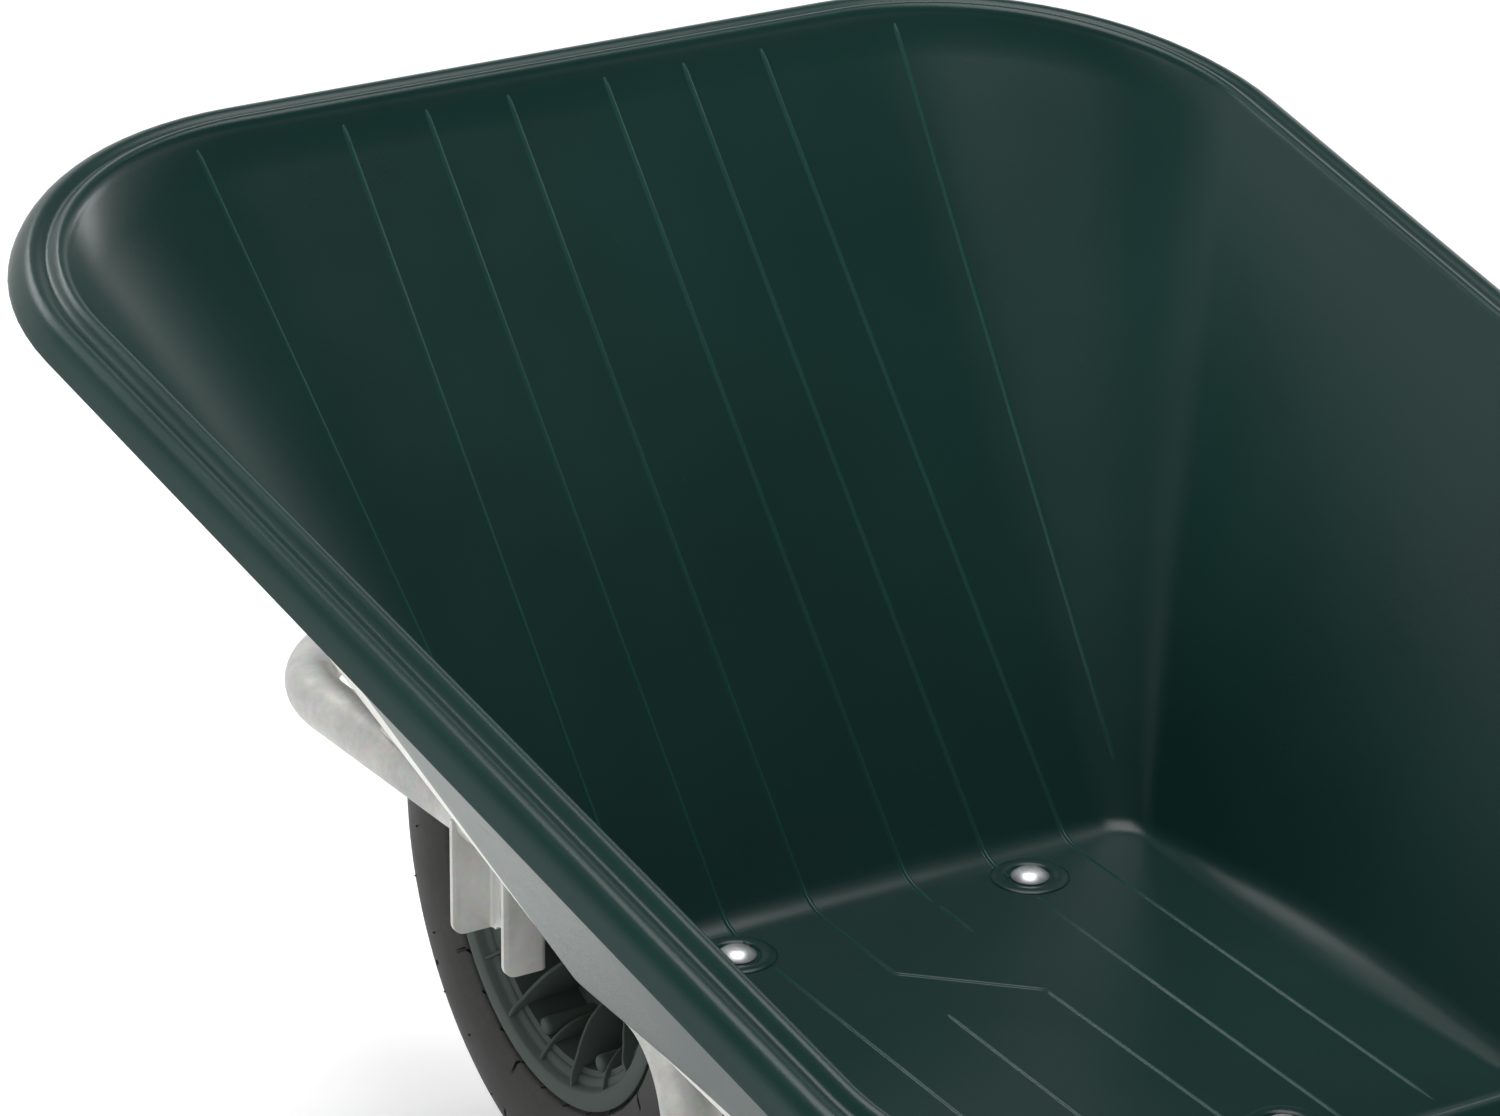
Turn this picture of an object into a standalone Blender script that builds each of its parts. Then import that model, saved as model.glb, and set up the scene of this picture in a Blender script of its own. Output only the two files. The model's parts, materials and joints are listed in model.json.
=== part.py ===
"""A one-wheel garden wheelbarrow: a moulded tray on a bent-tube frame with a pneumatic wheel.

Metres, +Z up, +Y forwards to the nose, +X to the right of the person who pushes it.
The world origin is on the ground under the middle of the barrow. Everything is laid out
from a datum: the top of the tray's floor, midway between the two front tray bolts.
"""

import math

import bmesh
import bpy
from mathutils import Matrix, Vector

# The datum above the world origin, and the small gap that touching pieces keep
DATUM = (0.0, 0.2154, 0.307)
GAP = 0.0003

# Frame tube: a facet of its twelve-sided section faces straight down
TUBE_R = 0.016
TUBE_WALL = 0.002
TUBE_SIDES = 12
TUBE_FLAT = math.cos(math.pi / TUBE_SIDES)
CUTTER_R = TUBE_R + 2 * GAP

# Heights of the tube centrelines, from the datum
MAIN_Z = -0.0205
LOWER_Z = -0.053
NOSE_Z = -0.056
SKID_Z = TUBE_R * TUBE_FLAT - DATUM[2]
LEG_START = 0.080
BEND_STEP = math.radians(18)

# Tray: sharp outlines of its floor and of the ridge round its mouth
TRAY_WALL = 0.004
FLOOR_OUTLINE = {"front": 0.026, "rear": -0.315, "half_front": 0.172, "half_rear": 0.182}
FLOOR_CORNER_R = 0.024
FLOOR_FILLET_R = 0.033
NOSE_CORNER_FILLET_R = 0.019
FILLET_EASE = 0.11
RIDGE_OUTLINE = {"front": 0.359, "rear": -0.590, "half_front": 0.352, "half_rear": 0.315}
RIDGE_CORNERS = {"front": 0.160, "rear": 0.120}
RIM_SLOPE = 0.17
RIDGE_FRONT_Z = 0.3605
RIM_STEPS = ((-0.004, -0.007), (0.002, 0.0), (0.016, -0.005), (0.030, -0.0155))

# Wheel and axle
AXLE = (0.0, 0.279, 0.200 - DATUM[2])
AXLE_R = 0.008
AXLE_TIP_R = 0.0065
AXLE_CHAMFER = 0.0015
AXLE_HOLE_R = 0.0085
SPACER_R = 0.0120
BUSH_START = 0.020
BUSH_R = 0.0125
BUSH_FLANGE_R = 0.0180
HUB_BORE_R = 0.0128
BUSH_BORE_R = 0.0081
TYRE_R = 0.200
RIM_FLANGE_R = 0.120
BEAD_SEAT_R = 0.1015
BARREL_R = 0.0955
HUB_R = 0.022
HUB_HALF = 0.048
BUSH_FLANGE_X = 0.0505
WEB_HALF = 0.0035
RIB_COUNT = 9
RIB_HALF = 0.0015
RIB_REACH = 0.034
WHEEL_SIDES = 40
INNER_TUBE_RING_R = 0.152
INNER_TUBE_R = 0.037
VALVE_X = 0.018
VALVE_ANGLE = math.radians(100)
VALVE_STEM_R = 0.0042
VALVE_CAP_LOW = 0.0755

# Axle bracket: a channel open to the outside, under the lower tube
WEB_X = 0.0670
PLATE = 0.003
BRACKET_OUT = 0.095
BRACKET_FRONT = 0.306
BRACKET_REAR = 0.243
BRACKET_BOTTOM = -0.1255
BRACKET_CORNER_R = 0.008

# Push-on caps outside the brackets, which keep the axle in
AXLE_CAP_RIM_R = 0.0125
AXLE_CAP_POCKET = 0.0027
AXLE_CAP_HEIGHT = 0.0038
AXLE_HALF = WEB_X + PLATE + AXLE_CAP_POCKET

# Tray bolts and the straps under the tray
BOLT_XS = {"front": 0.090, "rear": 0.050}
STRAP_YS = {"front": 0.0, "rear": -0.285}
STRAP_HALVES = {"front": 0.1215, "rear": 0.1380}
STRAP_WIDTH = 0.040
STRAP_THICK = 0.005
STRAP_TOP = -TRAY_WALL - GAP
BOLT_R = 0.004
BOLT_TIP_R = 0.0032
BOLT_PROUD = 0.004
BOLT_HOLE_R = 0.0045
NUT_HOLE_R = 0.0043
NUT_FLATS = 0.013
NUT_THICK = 0.0065
WASHER_R = 0.0085
WASHER_THICK = 0.0016

# Handle grips, and the plugs in the nose ends of the main tubes
GRIP_LENGTH = 0.125
GRIP_END = 0.004
GRIP_BORE_R = TUBE_R + 0.0005
GRIP_R = 0.0190
GRIP_COLLAR_R = 0.0225
PLUG_STUB_R = 0.0128
PLUG_DEPTH = 0.018


# ---------------------------------------------------------------- scene and materials


def clear_scene():
    for obj in list(bpy.data.objects):
        bpy.data.objects.remove(obj, do_unlink=True)


def material(name, colour, roughness, metallic=0.0):
    made = bpy.data.materials.new(name)
    made.use_nodes = True
    shader = made.node_tree.nodes["Principled BSDF"]
    shader.inputs["Base Color"].default_value = (*colour, 1.0)
    shader.inputs["Roughness"].default_value = roughness
    shader.inputs["Metallic"].default_value = metallic
    return made


def empty(name, location, parent=None):
    made = bpy.data.objects.new(name, None)
    made.location = location
    made.parent = parent
    bpy.context.scene.collection.objects.link(made)
    return made


def mesh_from(name, shape, sharp_angle=35.0):
    """The bmesh as a named mesh, shaded smooth except at its sharp edges."""
    bmesh.ops.recalc_face_normals(shape, faces=shape.faces)
    mesh = bpy.data.meshes.new(name)
    shape.to_mesh(mesh)
    shape.free()
    mesh.shade_smooth()
    mesh.set_sharp_from_angle(angle=math.radians(sharp_angle))
    return mesh


def place(name, mesh, finish, parent, location=(0, 0, 0), rotation=(0, 0, 0)):
    """A named object for this mesh, which several objects may share."""
    made = bpy.data.objects.new(name, mesh)
    made.location = location
    made.rotation_euler = rotation
    made.parent = parent
    if not mesh.materials:
        mesh.materials.append(finish)
    bpy.context.scene.collection.objects.link(made)
    return made


def boolean(target, tool, operation="DIFFERENCE"):
    """Cut or join a hidden helper into the target."""
    modifier = target.modifiers.new(f"{operation.title()} {tool.name}", "BOOLEAN")
    modifier.object = tool
    modifier.operation = operation
    modifier.solver = "EXACT"
    tool.hide_render = True
    tool.display_type = "WIRE"


# ---------------------------------------------------------------- shape helpers


def round_corner(before, corner, after, radius, steps=None):
    """Points of the arc that rounds a corner, from one tangent point to the other."""
    into = (corner - before).normalized()
    out = (after - corner).normalized()
    turn = into.angle(out)
    steps = steps or max(2, math.ceil(turn / BEND_STEP))
    start = corner - into * radius * math.tan(turn / 2)
    inward = (out - into * into.dot(out)).normalized()
    centre = start + inward * radius
    angles = [turn * i / steps for i in range(steps + 1)]
    return [centre - inward * radius * math.cos(a) + into * radius * math.sin(a) for a in angles]


def bent_path(corners, radii):
    """An open path through the corners, each inner one rounded to its bend radius."""
    points = [Vector(corner) for corner in corners]
    path = [points[0]]
    for i, radius in enumerate(radii, start=1):
        path += round_corner(points[i - 1], points[i], points[i + 1], radius)
    path.append(points[-1])
    return path


def mirrored(points):
    return [Vector((-p.x, p.y, p.z)) for p in points]


def ring_at(path, i, radius, reference, sides):
    """A mitred section of a tube at a point of its path, with a facet towards the reference."""
    into = (path[i] - path[i - 1]).normalized() if i else None
    out = (path[i + 1] - path[i]).normalized() if i + 1 < len(path) else None
    into, out = into or out, out or into
    normal = (into + out).normalized()
    up = (reference - normal * reference.dot(normal)).normalized()
    side = up.cross(normal)
    bend = out - into
    stretch = 1 / normal.dot(out) - 1
    ring = []
    for k in range(sides):
        angle = 2 * math.pi * (k + 0.5) / sides
        point = (up * math.cos(angle) + side * math.sin(angle)) * radius
        if bend.length > 1e-6:
            across = bend.normalized()
            point += across * point.dot(across) * stretch
        ring.append(path[i] + point)
    return ring


def skin(shape, rings, close_rows=False):
    """Faces between successive rings of equal length. Returns the rings' vertices."""
    rows = [[shape.verts.new(p) for p in ring] for ring in rings]
    pairs = list(zip(rows, rows[1:]))
    if close_rows:
        pairs.append((rows[-1], rows[0]))
    for low, high in pairs:
        for k in range(len(low)):
            n = (k + 1) % len(low)
            shape.faces.new((low[k], low[n], high[n], high[k]))
    return rows


def tube(path, reference, radius=TUBE_R, wall=TUBE_WALL, sides=TUBE_SIDES):
    """A hollow tube along a path, open at both ends."""
    reference = Vector(reference)
    outer = [ring_at(path, i, radius, reference, sides) for i in range(len(path))]
    inner = [ring_at(path, i, radius - wall, reference, sides) for i in range(len(path))]
    shape = bmesh.new()
    skin(shape, outer + inner[::-1], close_rows=True)
    return shape


def rod(path, reference, radius, sides=TUBE_SIDES):
    """A solid bar along a path."""
    reference = Vector(reference)
    shape = bmesh.new()
    rows = skin(shape, [ring_at(path, i, radius, reference, sides) for i in range(len(path))])
    shape.faces.new(rows[0])
    shape.faces.new(rows[-1])
    return shape


def turned(profile, sides, axis="Z", closed=False):
    """A solid turned about an axis from (radius, height) pairs; a closed profile leaves a bore."""
    shape = bmesh.new()
    if closed:
        rings = [circle(r, h, sides) for r, h in profile]
        skin(shape, rings, close_rows=True)
    else:
        rows = skin(shape, [circle(r, h, sides) for r, h in profile if r > 0])
        for row, (radius, height) in ((rows[0], profile[0]), (rows[-1], profile[-1])):
            if radius > 0:
                shape.faces.new(row)
                continue
            tip = shape.verts.new((0, 0, height))
            for k in range(sides):
                shape.faces.new((row[k], row[(k + 1) % sides], tip))
    if axis == "X":
        bmesh.ops.rotate(shape, verts=shape.verts, matrix=Matrix.Rotation(math.pi / 2, 3, "Y"))
    return shape


def circle(radius, height, sides):
    angles = [2 * math.pi * k / sides for k in range(sides)]
    return [Vector((radius * math.cos(a), radius * math.sin(a), height)) for a in angles]


def hexagon(across_flats, height, sides=12):
    """A hexagonal ring with as many points as a circle, so that a round bore can join it."""
    ring = []
    for k in range(sides):
        angle = 2 * math.pi * k / sides
        from_flat = (angle + math.pi / 6) % (math.pi / 3) - math.pi / 6
        radius = across_flats / 2 / math.cos(from_flat)
        ring.append(Vector((radius * math.cos(angle), radius * math.sin(angle), height)))
    return ring


def hex_nut(across_flats, hole_r, thickness):
    shape = bmesh.new()
    rings = [hexagon(across_flats, 0), hexagon(across_flats, thickness)]
    rings += [circle(hole_r, thickness, 12), circle(hole_r, 0, 12)]
    skin(shape, rings, close_rows=True)
    return shape


def flipped(shape, sign):
    """The shape as it is, or mirrored to the left when the sign is negative."""
    bmesh.ops.scale(shape, vec=(sign, 1, 1), verts=shape.verts)
    return shape


def add_box(shape, low, high):
    """A box between two corners, added to the bmesh."""
    low, high = Vector(low), Vector(high)
    middle = Matrix.Translation((low + high) / 2)
    bmesh.ops.create_cube(shape, size=1.0, matrix=middle @ Matrix.Diagonal((*(high - low), 1)))


# ---------------------------------------------------------------- tray


def outline(front, rear, half_front, half_rear, front_r, rear_r, z_front, z_rear):
    """A closed rounded outline, wider at one end, with points along its sides too."""
    corners = [
        Vector((half_front, front, z_front)),
        Vector((half_rear, rear, z_rear)),
        Vector((-half_rear, rear, z_rear)),
        Vector((-half_front, front, z_front)),
    ]
    radii = (front_r, rear_r, rear_r, front_r)
    arcs = []
    for i, radius in enumerate(radii):
        arcs.append(round_corner(corners[i - 1], corners[i], corners[(i + 1) % 4], radius, 8))
    loop = []
    for arc, following in zip(arcs, arcs[1:] + arcs[:1]):
        loop += arc
        loop += [arc[-1].lerp(following[0], step / 4) for step in (1, 2, 3)]
    return loop


def rim_outline(grow, rise):
    """The mouth of the tray, grown sideways from its ridge and raised along its slope."""
    front = RIDGE_OUTLINE["front"] + grow
    rear = RIDGE_OUTLINE["rear"] - grow
    return outline(
        front,
        rear,
        RIDGE_OUTLINE["half_front"] + grow,
        RIDGE_OUTLINE["half_rear"] + grow,
        RIDGE_CORNERS["front"] + grow,
        RIDGE_CORNERS["rear"] + grow,
        RIDGE_FRONT_Z + rise + RIM_SLOPE * grow,
        RIDGE_FRONT_Z + rise + RIM_SLOPE * (rear - RIDGE_OUTLINE["front"]),
    )


def fillet_radius(place):
    """The fillet round the floor tightens towards its two nose corners."""
    half, front = FLOOR_OUTLINE["half_front"], FLOOR_OUTLINE["front"]
    nearest = min((place - Vector((x, front, 0))).length for x in (-half, half))
    share = min(1.0, nearest / FILLET_EASE)
    return NOSE_CORNER_FILLET_R + (FLOOR_FILLET_R - NOSE_CORNER_FILLET_R) * share


def tray_surface():
    """The tray's inside: floor, fillet, flared walls and the rolled flange round its mouth."""
    corner_r = FLOOR_CORNER_R
    bottom = outline(**FLOOR_OUTLINE, front_r=corner_r, rear_r=corner_r, z_front=0, z_rear=0)
    rims = [rim_outline(grow, rise) for grow, rise in RIM_STEPS]
    fillets = []
    for corner, top in zip(bottom, rims[0]):
        inwards = Vector((corner.x - top.x, corner.y - top.y, 0))
        fillets.append(round_corner(corner + inwards, corner, top, fillet_radius(corner), 4))
    shape = bmesh.new()
    rows = skin(shape, [list(ring) for ring in zip(*fillets)] + rims)
    shape.faces.new(rows[0])
    return shape


def make_tray(finish, datum):
    shape = tray_surface()
    bmesh.ops.recalc_face_normals(shape, faces=shape.faces)
    floor = min(shape.faces, key=lambda face: face.calc_center_median().z)
    if floor.normal.z < 0:
        bmesh.ops.reverse_faces(shape, faces=shape.faces)
    mesh = bpy.data.meshes.new("tray")
    shape.to_mesh(mesh)
    shape.free()
    mesh.shade_smooth()
    tray = place("tray", mesh, finish, datum)
    shell = tray.modifiers.new("Wall", "SOLIDIFY")
    shell.thickness = TRAY_WALL
    shell.offset = -1.0
    shell.use_even_offset = True
    holes = bolt_cutters([spot for where in STRAP_YS for spot in bolt_places(where).values()])
    boolean(tray, place("tray_holes", mesh_from("tray_holes", holes), finish, datum))


# ---------------------------------------------------------------- frame


def main_tube_path():
    """Right tube: from the nose, back under the tray, then up and out to the handle."""
    corners = [
        (0.0621, 0.505, MAIN_Z),
        (0.1276, 0.105, MAIN_Z),
        (0.1575, -0.365, MAIN_Z),
        (0.2660, -0.830, 0.2000),
        (0.2850, -1.000, 0.2160),
    ]
    return bent_path(corners, (0.60, 0.22, 0.20))


def hoop_path():
    """Round the nose, and back along both sides of the wheel."""
    right = [
        (0.1048, LEG_START, LOWER_Z),
        (0.1025, 0.125, LOWER_Z),
        (0.0740, 0.230, LOWER_Z),
        (0.0876, 0.560, NOSE_Z),
    ]
    left = [(-x, y, z) for x, y, z in right]
    return bent_path(left + right[::-1], (0.12, 0.15, 0.0815, 0.0815, 0.15, 0.12))


def leg_path():
    """Right leg: on from the hoop, down behind the wheel, a skid, and up to the main tube."""
    corners = [
        (0.1048, LEG_START - GAP, LOWER_Z),
        (0.1090, 0.006, LOWER_Z),
        (0.1500, -0.045, SKID_Z),
        (0.1500, -0.375, SKID_Z),
        (0.1776, -0.4526, 0.0127),
    ]
    return bent_path(corners, (0.075, 0.060, 0.060))


def make_tubes(steel, datum):
    main = main_tube_path()
    for side, path in (("right", main), ("left", mirrored(main))):
        name = f"main_tube_{side}"
        place(name, mesh_from(name, tube(path, (0, 0, 1))), steel, datum)
    place("front_hoop", mesh_from("front_hoop", tube(hoop_path(), (0, 0, 1))), steel, datum)
    leg = leg_path()
    for side, path, above in (("right", leg, main), ("left", mirrored(leg), mirrored(main))):
        name = f"skid_leg_{side}"
        made = place(name, mesh_from(name, tube(path, (1, 0, 0))), steel, datum)
        cope = mesh_from(f"{name}_cope", rod(above, (0, 0, 1), CUTTER_R))
        boolean(made, place(cope.name, cope, steel, datum))


def make_cross_bar(steel, datum):
    """A thin tube that ties the two legs together behind the wheel."""
    half, y, z = 0.1085, -0.0185, -0.170
    path = [Vector((-half, y, z)), Vector((half, y, z))]
    shape = tube(path, (0, 0, 1), radius=0.011, wall=0.0015)
    place("leg_cross_bar", mesh_from("leg_cross_bar", shape), steel, datum)


def bolt_places(where):
    """The left and the right bolt of one strap, from the datum."""
    x, y = BOLT_XS[where], STRAP_YS[where]
    return {"left": (-x, y), "right": (x, y)}


def bolt_cutters(places):
    """An upright pin for each bolt hole."""
    shape = bmesh.new()
    for x, y in places:
        bmesh.ops.create_cone(
            shape,
            cap_ends=True,
            segments=16,
            radius1=BOLT_HOLE_R,
            radius2=BOLT_HOLE_R,
            depth=0.03,
            matrix=Matrix.Translation((x, y, 0)),
        )
    return shape


def make_straps(steel, datum):
    """Flat bars welded between the main tubes, with a hole for each tray bolt."""
    for where, y in STRAP_YS.items():
        half = STRAP_HALVES[where]
        shape = bmesh.new()
        add_box(
            shape,
            (-half, y - STRAP_WIDTH / 2, STRAP_TOP - STRAP_THICK),
            (half, y + STRAP_WIDTH / 2, STRAP_TOP),
        )
        name = f"{where}_tray_strap"
        strap = place(name, mesh_from(name, shape), steel, datum)
        holes = bolt_cutters(bolt_places(where).values())
        boolean(strap, place(f"{name}_holes", mesh_from(f"{name}_holes", holes), steel, datum))


def flange_outline(y):
    """One flange of the axle bracket, square at the web and rounded at its outer lower corner."""
    top = LOWER_Z
    corner = Vector((BRACKET_OUT, y, BRACKET_BOTTOM))
    inner = Vector((WEB_X, y, BRACKET_BOTTOM))
    outer = Vector((BRACKET_OUT, y, top))
    rounded = round_corner(inner, corner, outer, BRACKET_CORNER_R, 4)
    return [inner, *rounded, outer, Vector((WEB_X, y, top))]


def bracket_shape():
    """The channel: a block with its flange outline, hollowed from the outside."""
    shape = bmesh.new()
    rows = skin(shape, [flange_outline(BRACKET_REAR), flange_outline(BRACKET_FRONT)])
    shape.faces.new(rows[0])
    shape.faces.new(rows[-1])
    return shape


def bracket_cutters():
    """What shapes the right bracket: its open channel, the axle's bore and the tube's bed."""
    channel = bmesh.new()
    add_box(
        channel,
        (WEB_X + PLATE, BRACKET_REAR + PLATE, BRACKET_BOTTOM - 0.01),
        (BRACKET_OUT + 0.01, BRACKET_FRONT - PLATE, LOWER_Z + 0.01),
    )
    past = Vector((0.01, 0, 0))
    web = Vector((WEB_X, AXLE[1], AXLE[2]))
    bore = rod([web - past, web + past], (0, 0, 1), AXLE_R + 2 * GAP, sides=24)
    return {"channel": channel, "bore": bore, "bed": rod(hoop_path(), (0, 0, 1), CUTTER_R)}


def make_brackets(steel, datum):
    """A channel under each side of the hoop, bedded on its tube and drilled for the axle."""
    for side, sign in (("right", 1), ("left", -1)):
        name = f"axle_bracket_{side}"
        bracket = place(name, mesh_from(name, flipped(bracket_shape(), sign)), steel, datum)
        for kind, shape in bracket_cutters().items():
            cutter = mesh_from(f"{name}_{kind}", flipped(shape, sign))
            boolean(bracket, place(cutter.name, cutter, steel, datum))


# ---------------------------------------------------------------- wheel


def axle_cap_profile():
    """A push-on cap: a low dome over the axle's end, with a flat rim."""
    return [
        (0.0, AXLE_CAP_POCKET + GAP),
        (AXLE_HOLE_R, AXLE_CAP_POCKET + GAP),
        (AXLE_HOLE_R, 0.0),
        (AXLE_CAP_RIM_R, 0.0),
        (AXLE_CAP_RIM_R, 0.0009),
        (0.0106, 0.0012),
        (0.0098, 0.0030),
        (0.0084, AXLE_CAP_HEIGHT + GAP),
        (0.0, AXLE_CAP_HEIGHT + GAP),
    ]


def make_axle(zinc, datum):
    """A through axle, with a spacer inside each bracket and a cap outside it."""
    inner = BUSH_FLANGE_X + GAP
    length = WEB_X - GAP - inner
    spacer = [(AXLE_HOLE_R, 0), (SPACER_R, 0), (SPACER_R, length), (AXLE_HOLE_R, length)]
    for side, sign in (("right", 1), ("left", -1)):
        turn = (0, 0, 0 if sign > 0 else math.pi)
        pieces = (
            (f"axle_cap_{side}", turned(axle_cap_profile(), 24, "X"), WEB_X + PLATE + GAP),
            (f"axle_spacer_{side}", turned(spacer, 16, "X", closed=True), inner),
        )
        for name, shape, x in pieces:
            location = (sign * x, AXLE[1], AXLE[2])
            place(name, mesh_from(name, shape), zinc, datum, location, turn)
    straight = AXLE_HALF - AXLE_CHAMFER
    profile = [(AXLE_TIP_R, -AXLE_HALF), (AXLE_R, -straight), (AXLE_R, straight), (AXLE_TIP_R, AXLE_HALF)]
    place("axle", mesh_from("axle", turned(profile, 32, "X")), zinc, datum, AXLE)


def make_bushes(finish, wheel):
    """A flanged bearing bush pressed into each end of the hub."""
    profile = [
        (BUSH_BORE_R, BUSH_START),
        (BUSH_R, BUSH_START),
        (BUSH_R, HUB_HALF + GAP),
        (BUSH_FLANGE_R, HUB_HALF + GAP),
        (BUSH_FLANGE_R, BUSH_FLANGE_X),
        (BUSH_BORE_R, BUSH_FLANGE_X),
    ]
    mesh = mesh_from("hub_bush", turned(profile, 32, "X", closed=True))
    place("hub_bush_right", mesh, finish, wheel)
    place("hub_bush_left", mesh, finish, wheel, rotation=(0, 0, math.pi))


def wheel_profile():
    """Half section of the wheel centre, as a closed loop of (radius, x)."""
    half = [
        (BARREL_R, 0.040),
        (BARREL_R, 0.044),
        (RIM_FLANGE_R - 0.002, 0.0455),
        (RIM_FLANGE_R, 0.0445),
        (RIM_FLANGE_R, 0.0425),
        (BEAD_SEAT_R + 0.003, 0.0405),
        (BEAD_SEAT_R, 0.0385),
    ]
    opposite = [(radius, -x) for radius, x in reversed(half)]
    hub = [(HUB_R, WEB_HALF), (HUB_R, HUB_HALF), (HUB_BORE_R, HUB_HALF), (HUB_BORE_R, -HUB_HALF)]
    hub += [(HUB_R, -HUB_HALF), (HUB_R, -WEB_HALF)]
    return [(BARREL_R, WEB_HALF), *half, *opposite, (BARREL_R, -WEB_HALF), *reversed(hub)]


def make_wheel_centre(finish, wheel):
    """Moulded rim, web and hub, stiffened by radial ribs on both sides."""
    shape = turned(wheel_profile(), WHEEL_SIDES, "X", closed=True)
    centre = place("wheel_centre", mesh_from("wheel_centre", shape), finish, wheel)
    ribs = bmesh.new()
    for k in range(RIB_COUNT):
        blade = bmesh.new()
        low, high = HUB_R - 0.002, BARREL_R + 0.002
        add_box(blade, (-RIB_REACH, -RIB_HALF, low), (RIB_REACH, RIB_HALF, high))
        turn = Matrix.Rotation(2 * math.pi * k / RIB_COUNT, 4, "X")
        bmesh.ops.transform(blade, matrix=turn, verts=blade.verts)
        part = bpy.data.meshes.new("blade")
        blade.to_mesh(part)
        blade.free()
        ribs.from_mesh(part)
        bpy.data.meshes.remove(part)
    boolean(centre, place("wheel_ribs", mesh_from("wheel_ribs", ribs), finish, wheel), "UNION")
    hole = rod(valve_path(0.085, 0.110), (1, 0, 0), 0.0050)
    boolean(centre, place("valve_hole", mesh_from("valve_hole", hole), finish, wheel))


def valve_path(low, high):
    """A straight run along the valve, between two radii from the axle."""
    outwards = Vector((0, math.cos(VALVE_ANGLE), math.sin(VALVE_ANGLE)))
    offset = Vector((VALVE_X, 0, 0))
    return [offset + outwards * low, offset + outwards * high]


def make_tyre(rubber, wheel):
    """The casing: tread, shoulders, sidewalls and beads, open towards the rim."""
    half_outside = [(TYRE_R, 0.0), (0.1960, 0.024), (0.1800, 0.0430), (0.1500, 0.0500)]
    half_outside += [(0.1260, 0.0470), (0.1215, 0.0420), (0.1040, 0.0392)]
    half_inside = [(0.1025, 0.0350), (0.1150, 0.0345), (0.1500, 0.0430), (0.1800, 0.0345), (0.192, 0.0)]
    half = half_outside + half_inside
    mirror = [(radius, -x) for radius, x in reversed(half[1:-1])]
    shape = turned(half + mirror, WHEEL_SIDES, "X", closed=True)
    place("tyre", mesh_from("tyre", shape), rubber, wheel)


def torus(ring_r, tube_r, ring_sides=24, tube_sides=8):
    """A ring round the wheel's axis."""
    angles = [2 * math.pi * k / tube_sides for k in range(tube_sides)]
    profile = [(ring_r + tube_r * math.cos(a), tube_r * math.sin(a)) for a in angles]
    return turned(profile, ring_sides, "X", closed=True)


def make_inner_tube(rubber, wheel):
    """The air tube, with its valve stem through the rim and a bore that opens its hollow."""
    inner_tube = place(
        "inner_tube", mesh_from("inner_tube", torus(INNER_TUBE_RING_R, INNER_TUBE_R)), rubber, wheel
    )
    stem = mesh_from("valve_stem", rod(valve_path(0.0785, 0.122), (1, 0, 0), VALVE_STEM_R))
    boolean(inner_tube, place("valve_stem", stem, rubber, wheel), "UNION")
    hollow = mesh_from("tube_air", torus(INNER_TUBE_RING_R, INNER_TUBE_R - 0.0025))
    boolean(inner_tube, place("tube_air", hollow, rubber, wheel))
    bore = mesh_from("valve_bore", rod(valve_path(0.070, 0.135), (1, 0, 0), 0.0015, sides=8))
    boolean(inner_tube, place("valve_bore", bore, rubber, wheel))


def make_valve_cap(finish, wheel):
    """A small cup screwed over the end of the valve."""
    outer, inner, height, pocket = 0.0058, 0.0046, 0.0090, 0.0020
    cap = [(0.0, 0.0), (outer, 0.0), (outer, height), (inner, height), (inner, pocket), (0.0, pocket)]
    low, high = valve_path(VALVE_CAP_LOW, VALVE_CAP_LOW + height)
    rotation = (high - low).to_track_quat("Z", "Y").to_euler()
    place("valve_cap", mesh_from("valve_cap", turned(cap, 16)), finish, wheel, low, rotation)


# ---------------------------------------------------------------- fasteners and trim


def make_tray_fasteners(zinc, datum):
    """Cup-headed bolts down through the floor and the straps, each with a washer and a nut."""
    washer_z = STRAP_TOP - STRAP_THICK - GAP - WASHER_THICK
    nut_z = washer_z - GAP - NUT_THICK
    end_z = nut_z - BOLT_PROUD
    head = [(0.0, 0.0048), (0.0045, 0.0044), (0.0082, 0.0030), (0.0100, 0.0012), (0.0103, GAP)]
    shank = [(BOLT_R, GAP), (BOLT_R, end_z + 0.001), (BOLT_TIP_R, end_z), (0.0, end_z)]
    bolt = mesh_from("tray_bolt", turned(head + shank, 16))
    section = [(NUT_HOLE_R, 0), (WASHER_R, 0), (WASHER_R, WASHER_THICK), (NUT_HOLE_R, WASHER_THICK)]
    washer = mesh_from("tray_washer", turned(section, 16, closed=True))
    nut = mesh_from("tray_nut", hex_nut(NUT_FLATS, NUT_HOLE_R, NUT_THICK))
    for where in STRAP_YS:
        for side, (x, y) in bolt_places(where).items():
            place(f"tray_bolt_{where}_{side}", bolt, zinc, datum, (x, y, 0))
            place(f"tray_washer_{where}_{side}", washer, zinc, datum, (x, y, washer_z))
            place(f"tray_nut_{where}_{side}", nut, zinc, datum, (x, y, nut_z))


def grip_profile():
    """A grip from its closed end to the collar at its mouth, and back inside to the tube's end."""
    return [
        (0.0, -GRIP_END),
        (GRIP_R - 0.0025, -GRIP_END),
        (GRIP_R, -GRIP_END + 0.003),
        (GRIP_R, GRIP_LENGTH - 0.008),
        (GRIP_COLLAR_R, GRIP_LENGTH - 0.006),
        (GRIP_COLLAR_R, GRIP_LENGTH),
        (GRIP_BORE_R, GRIP_LENGTH),
        (GRIP_BORE_R, -GAP),
        (0.0, -GAP),
    ]


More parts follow.
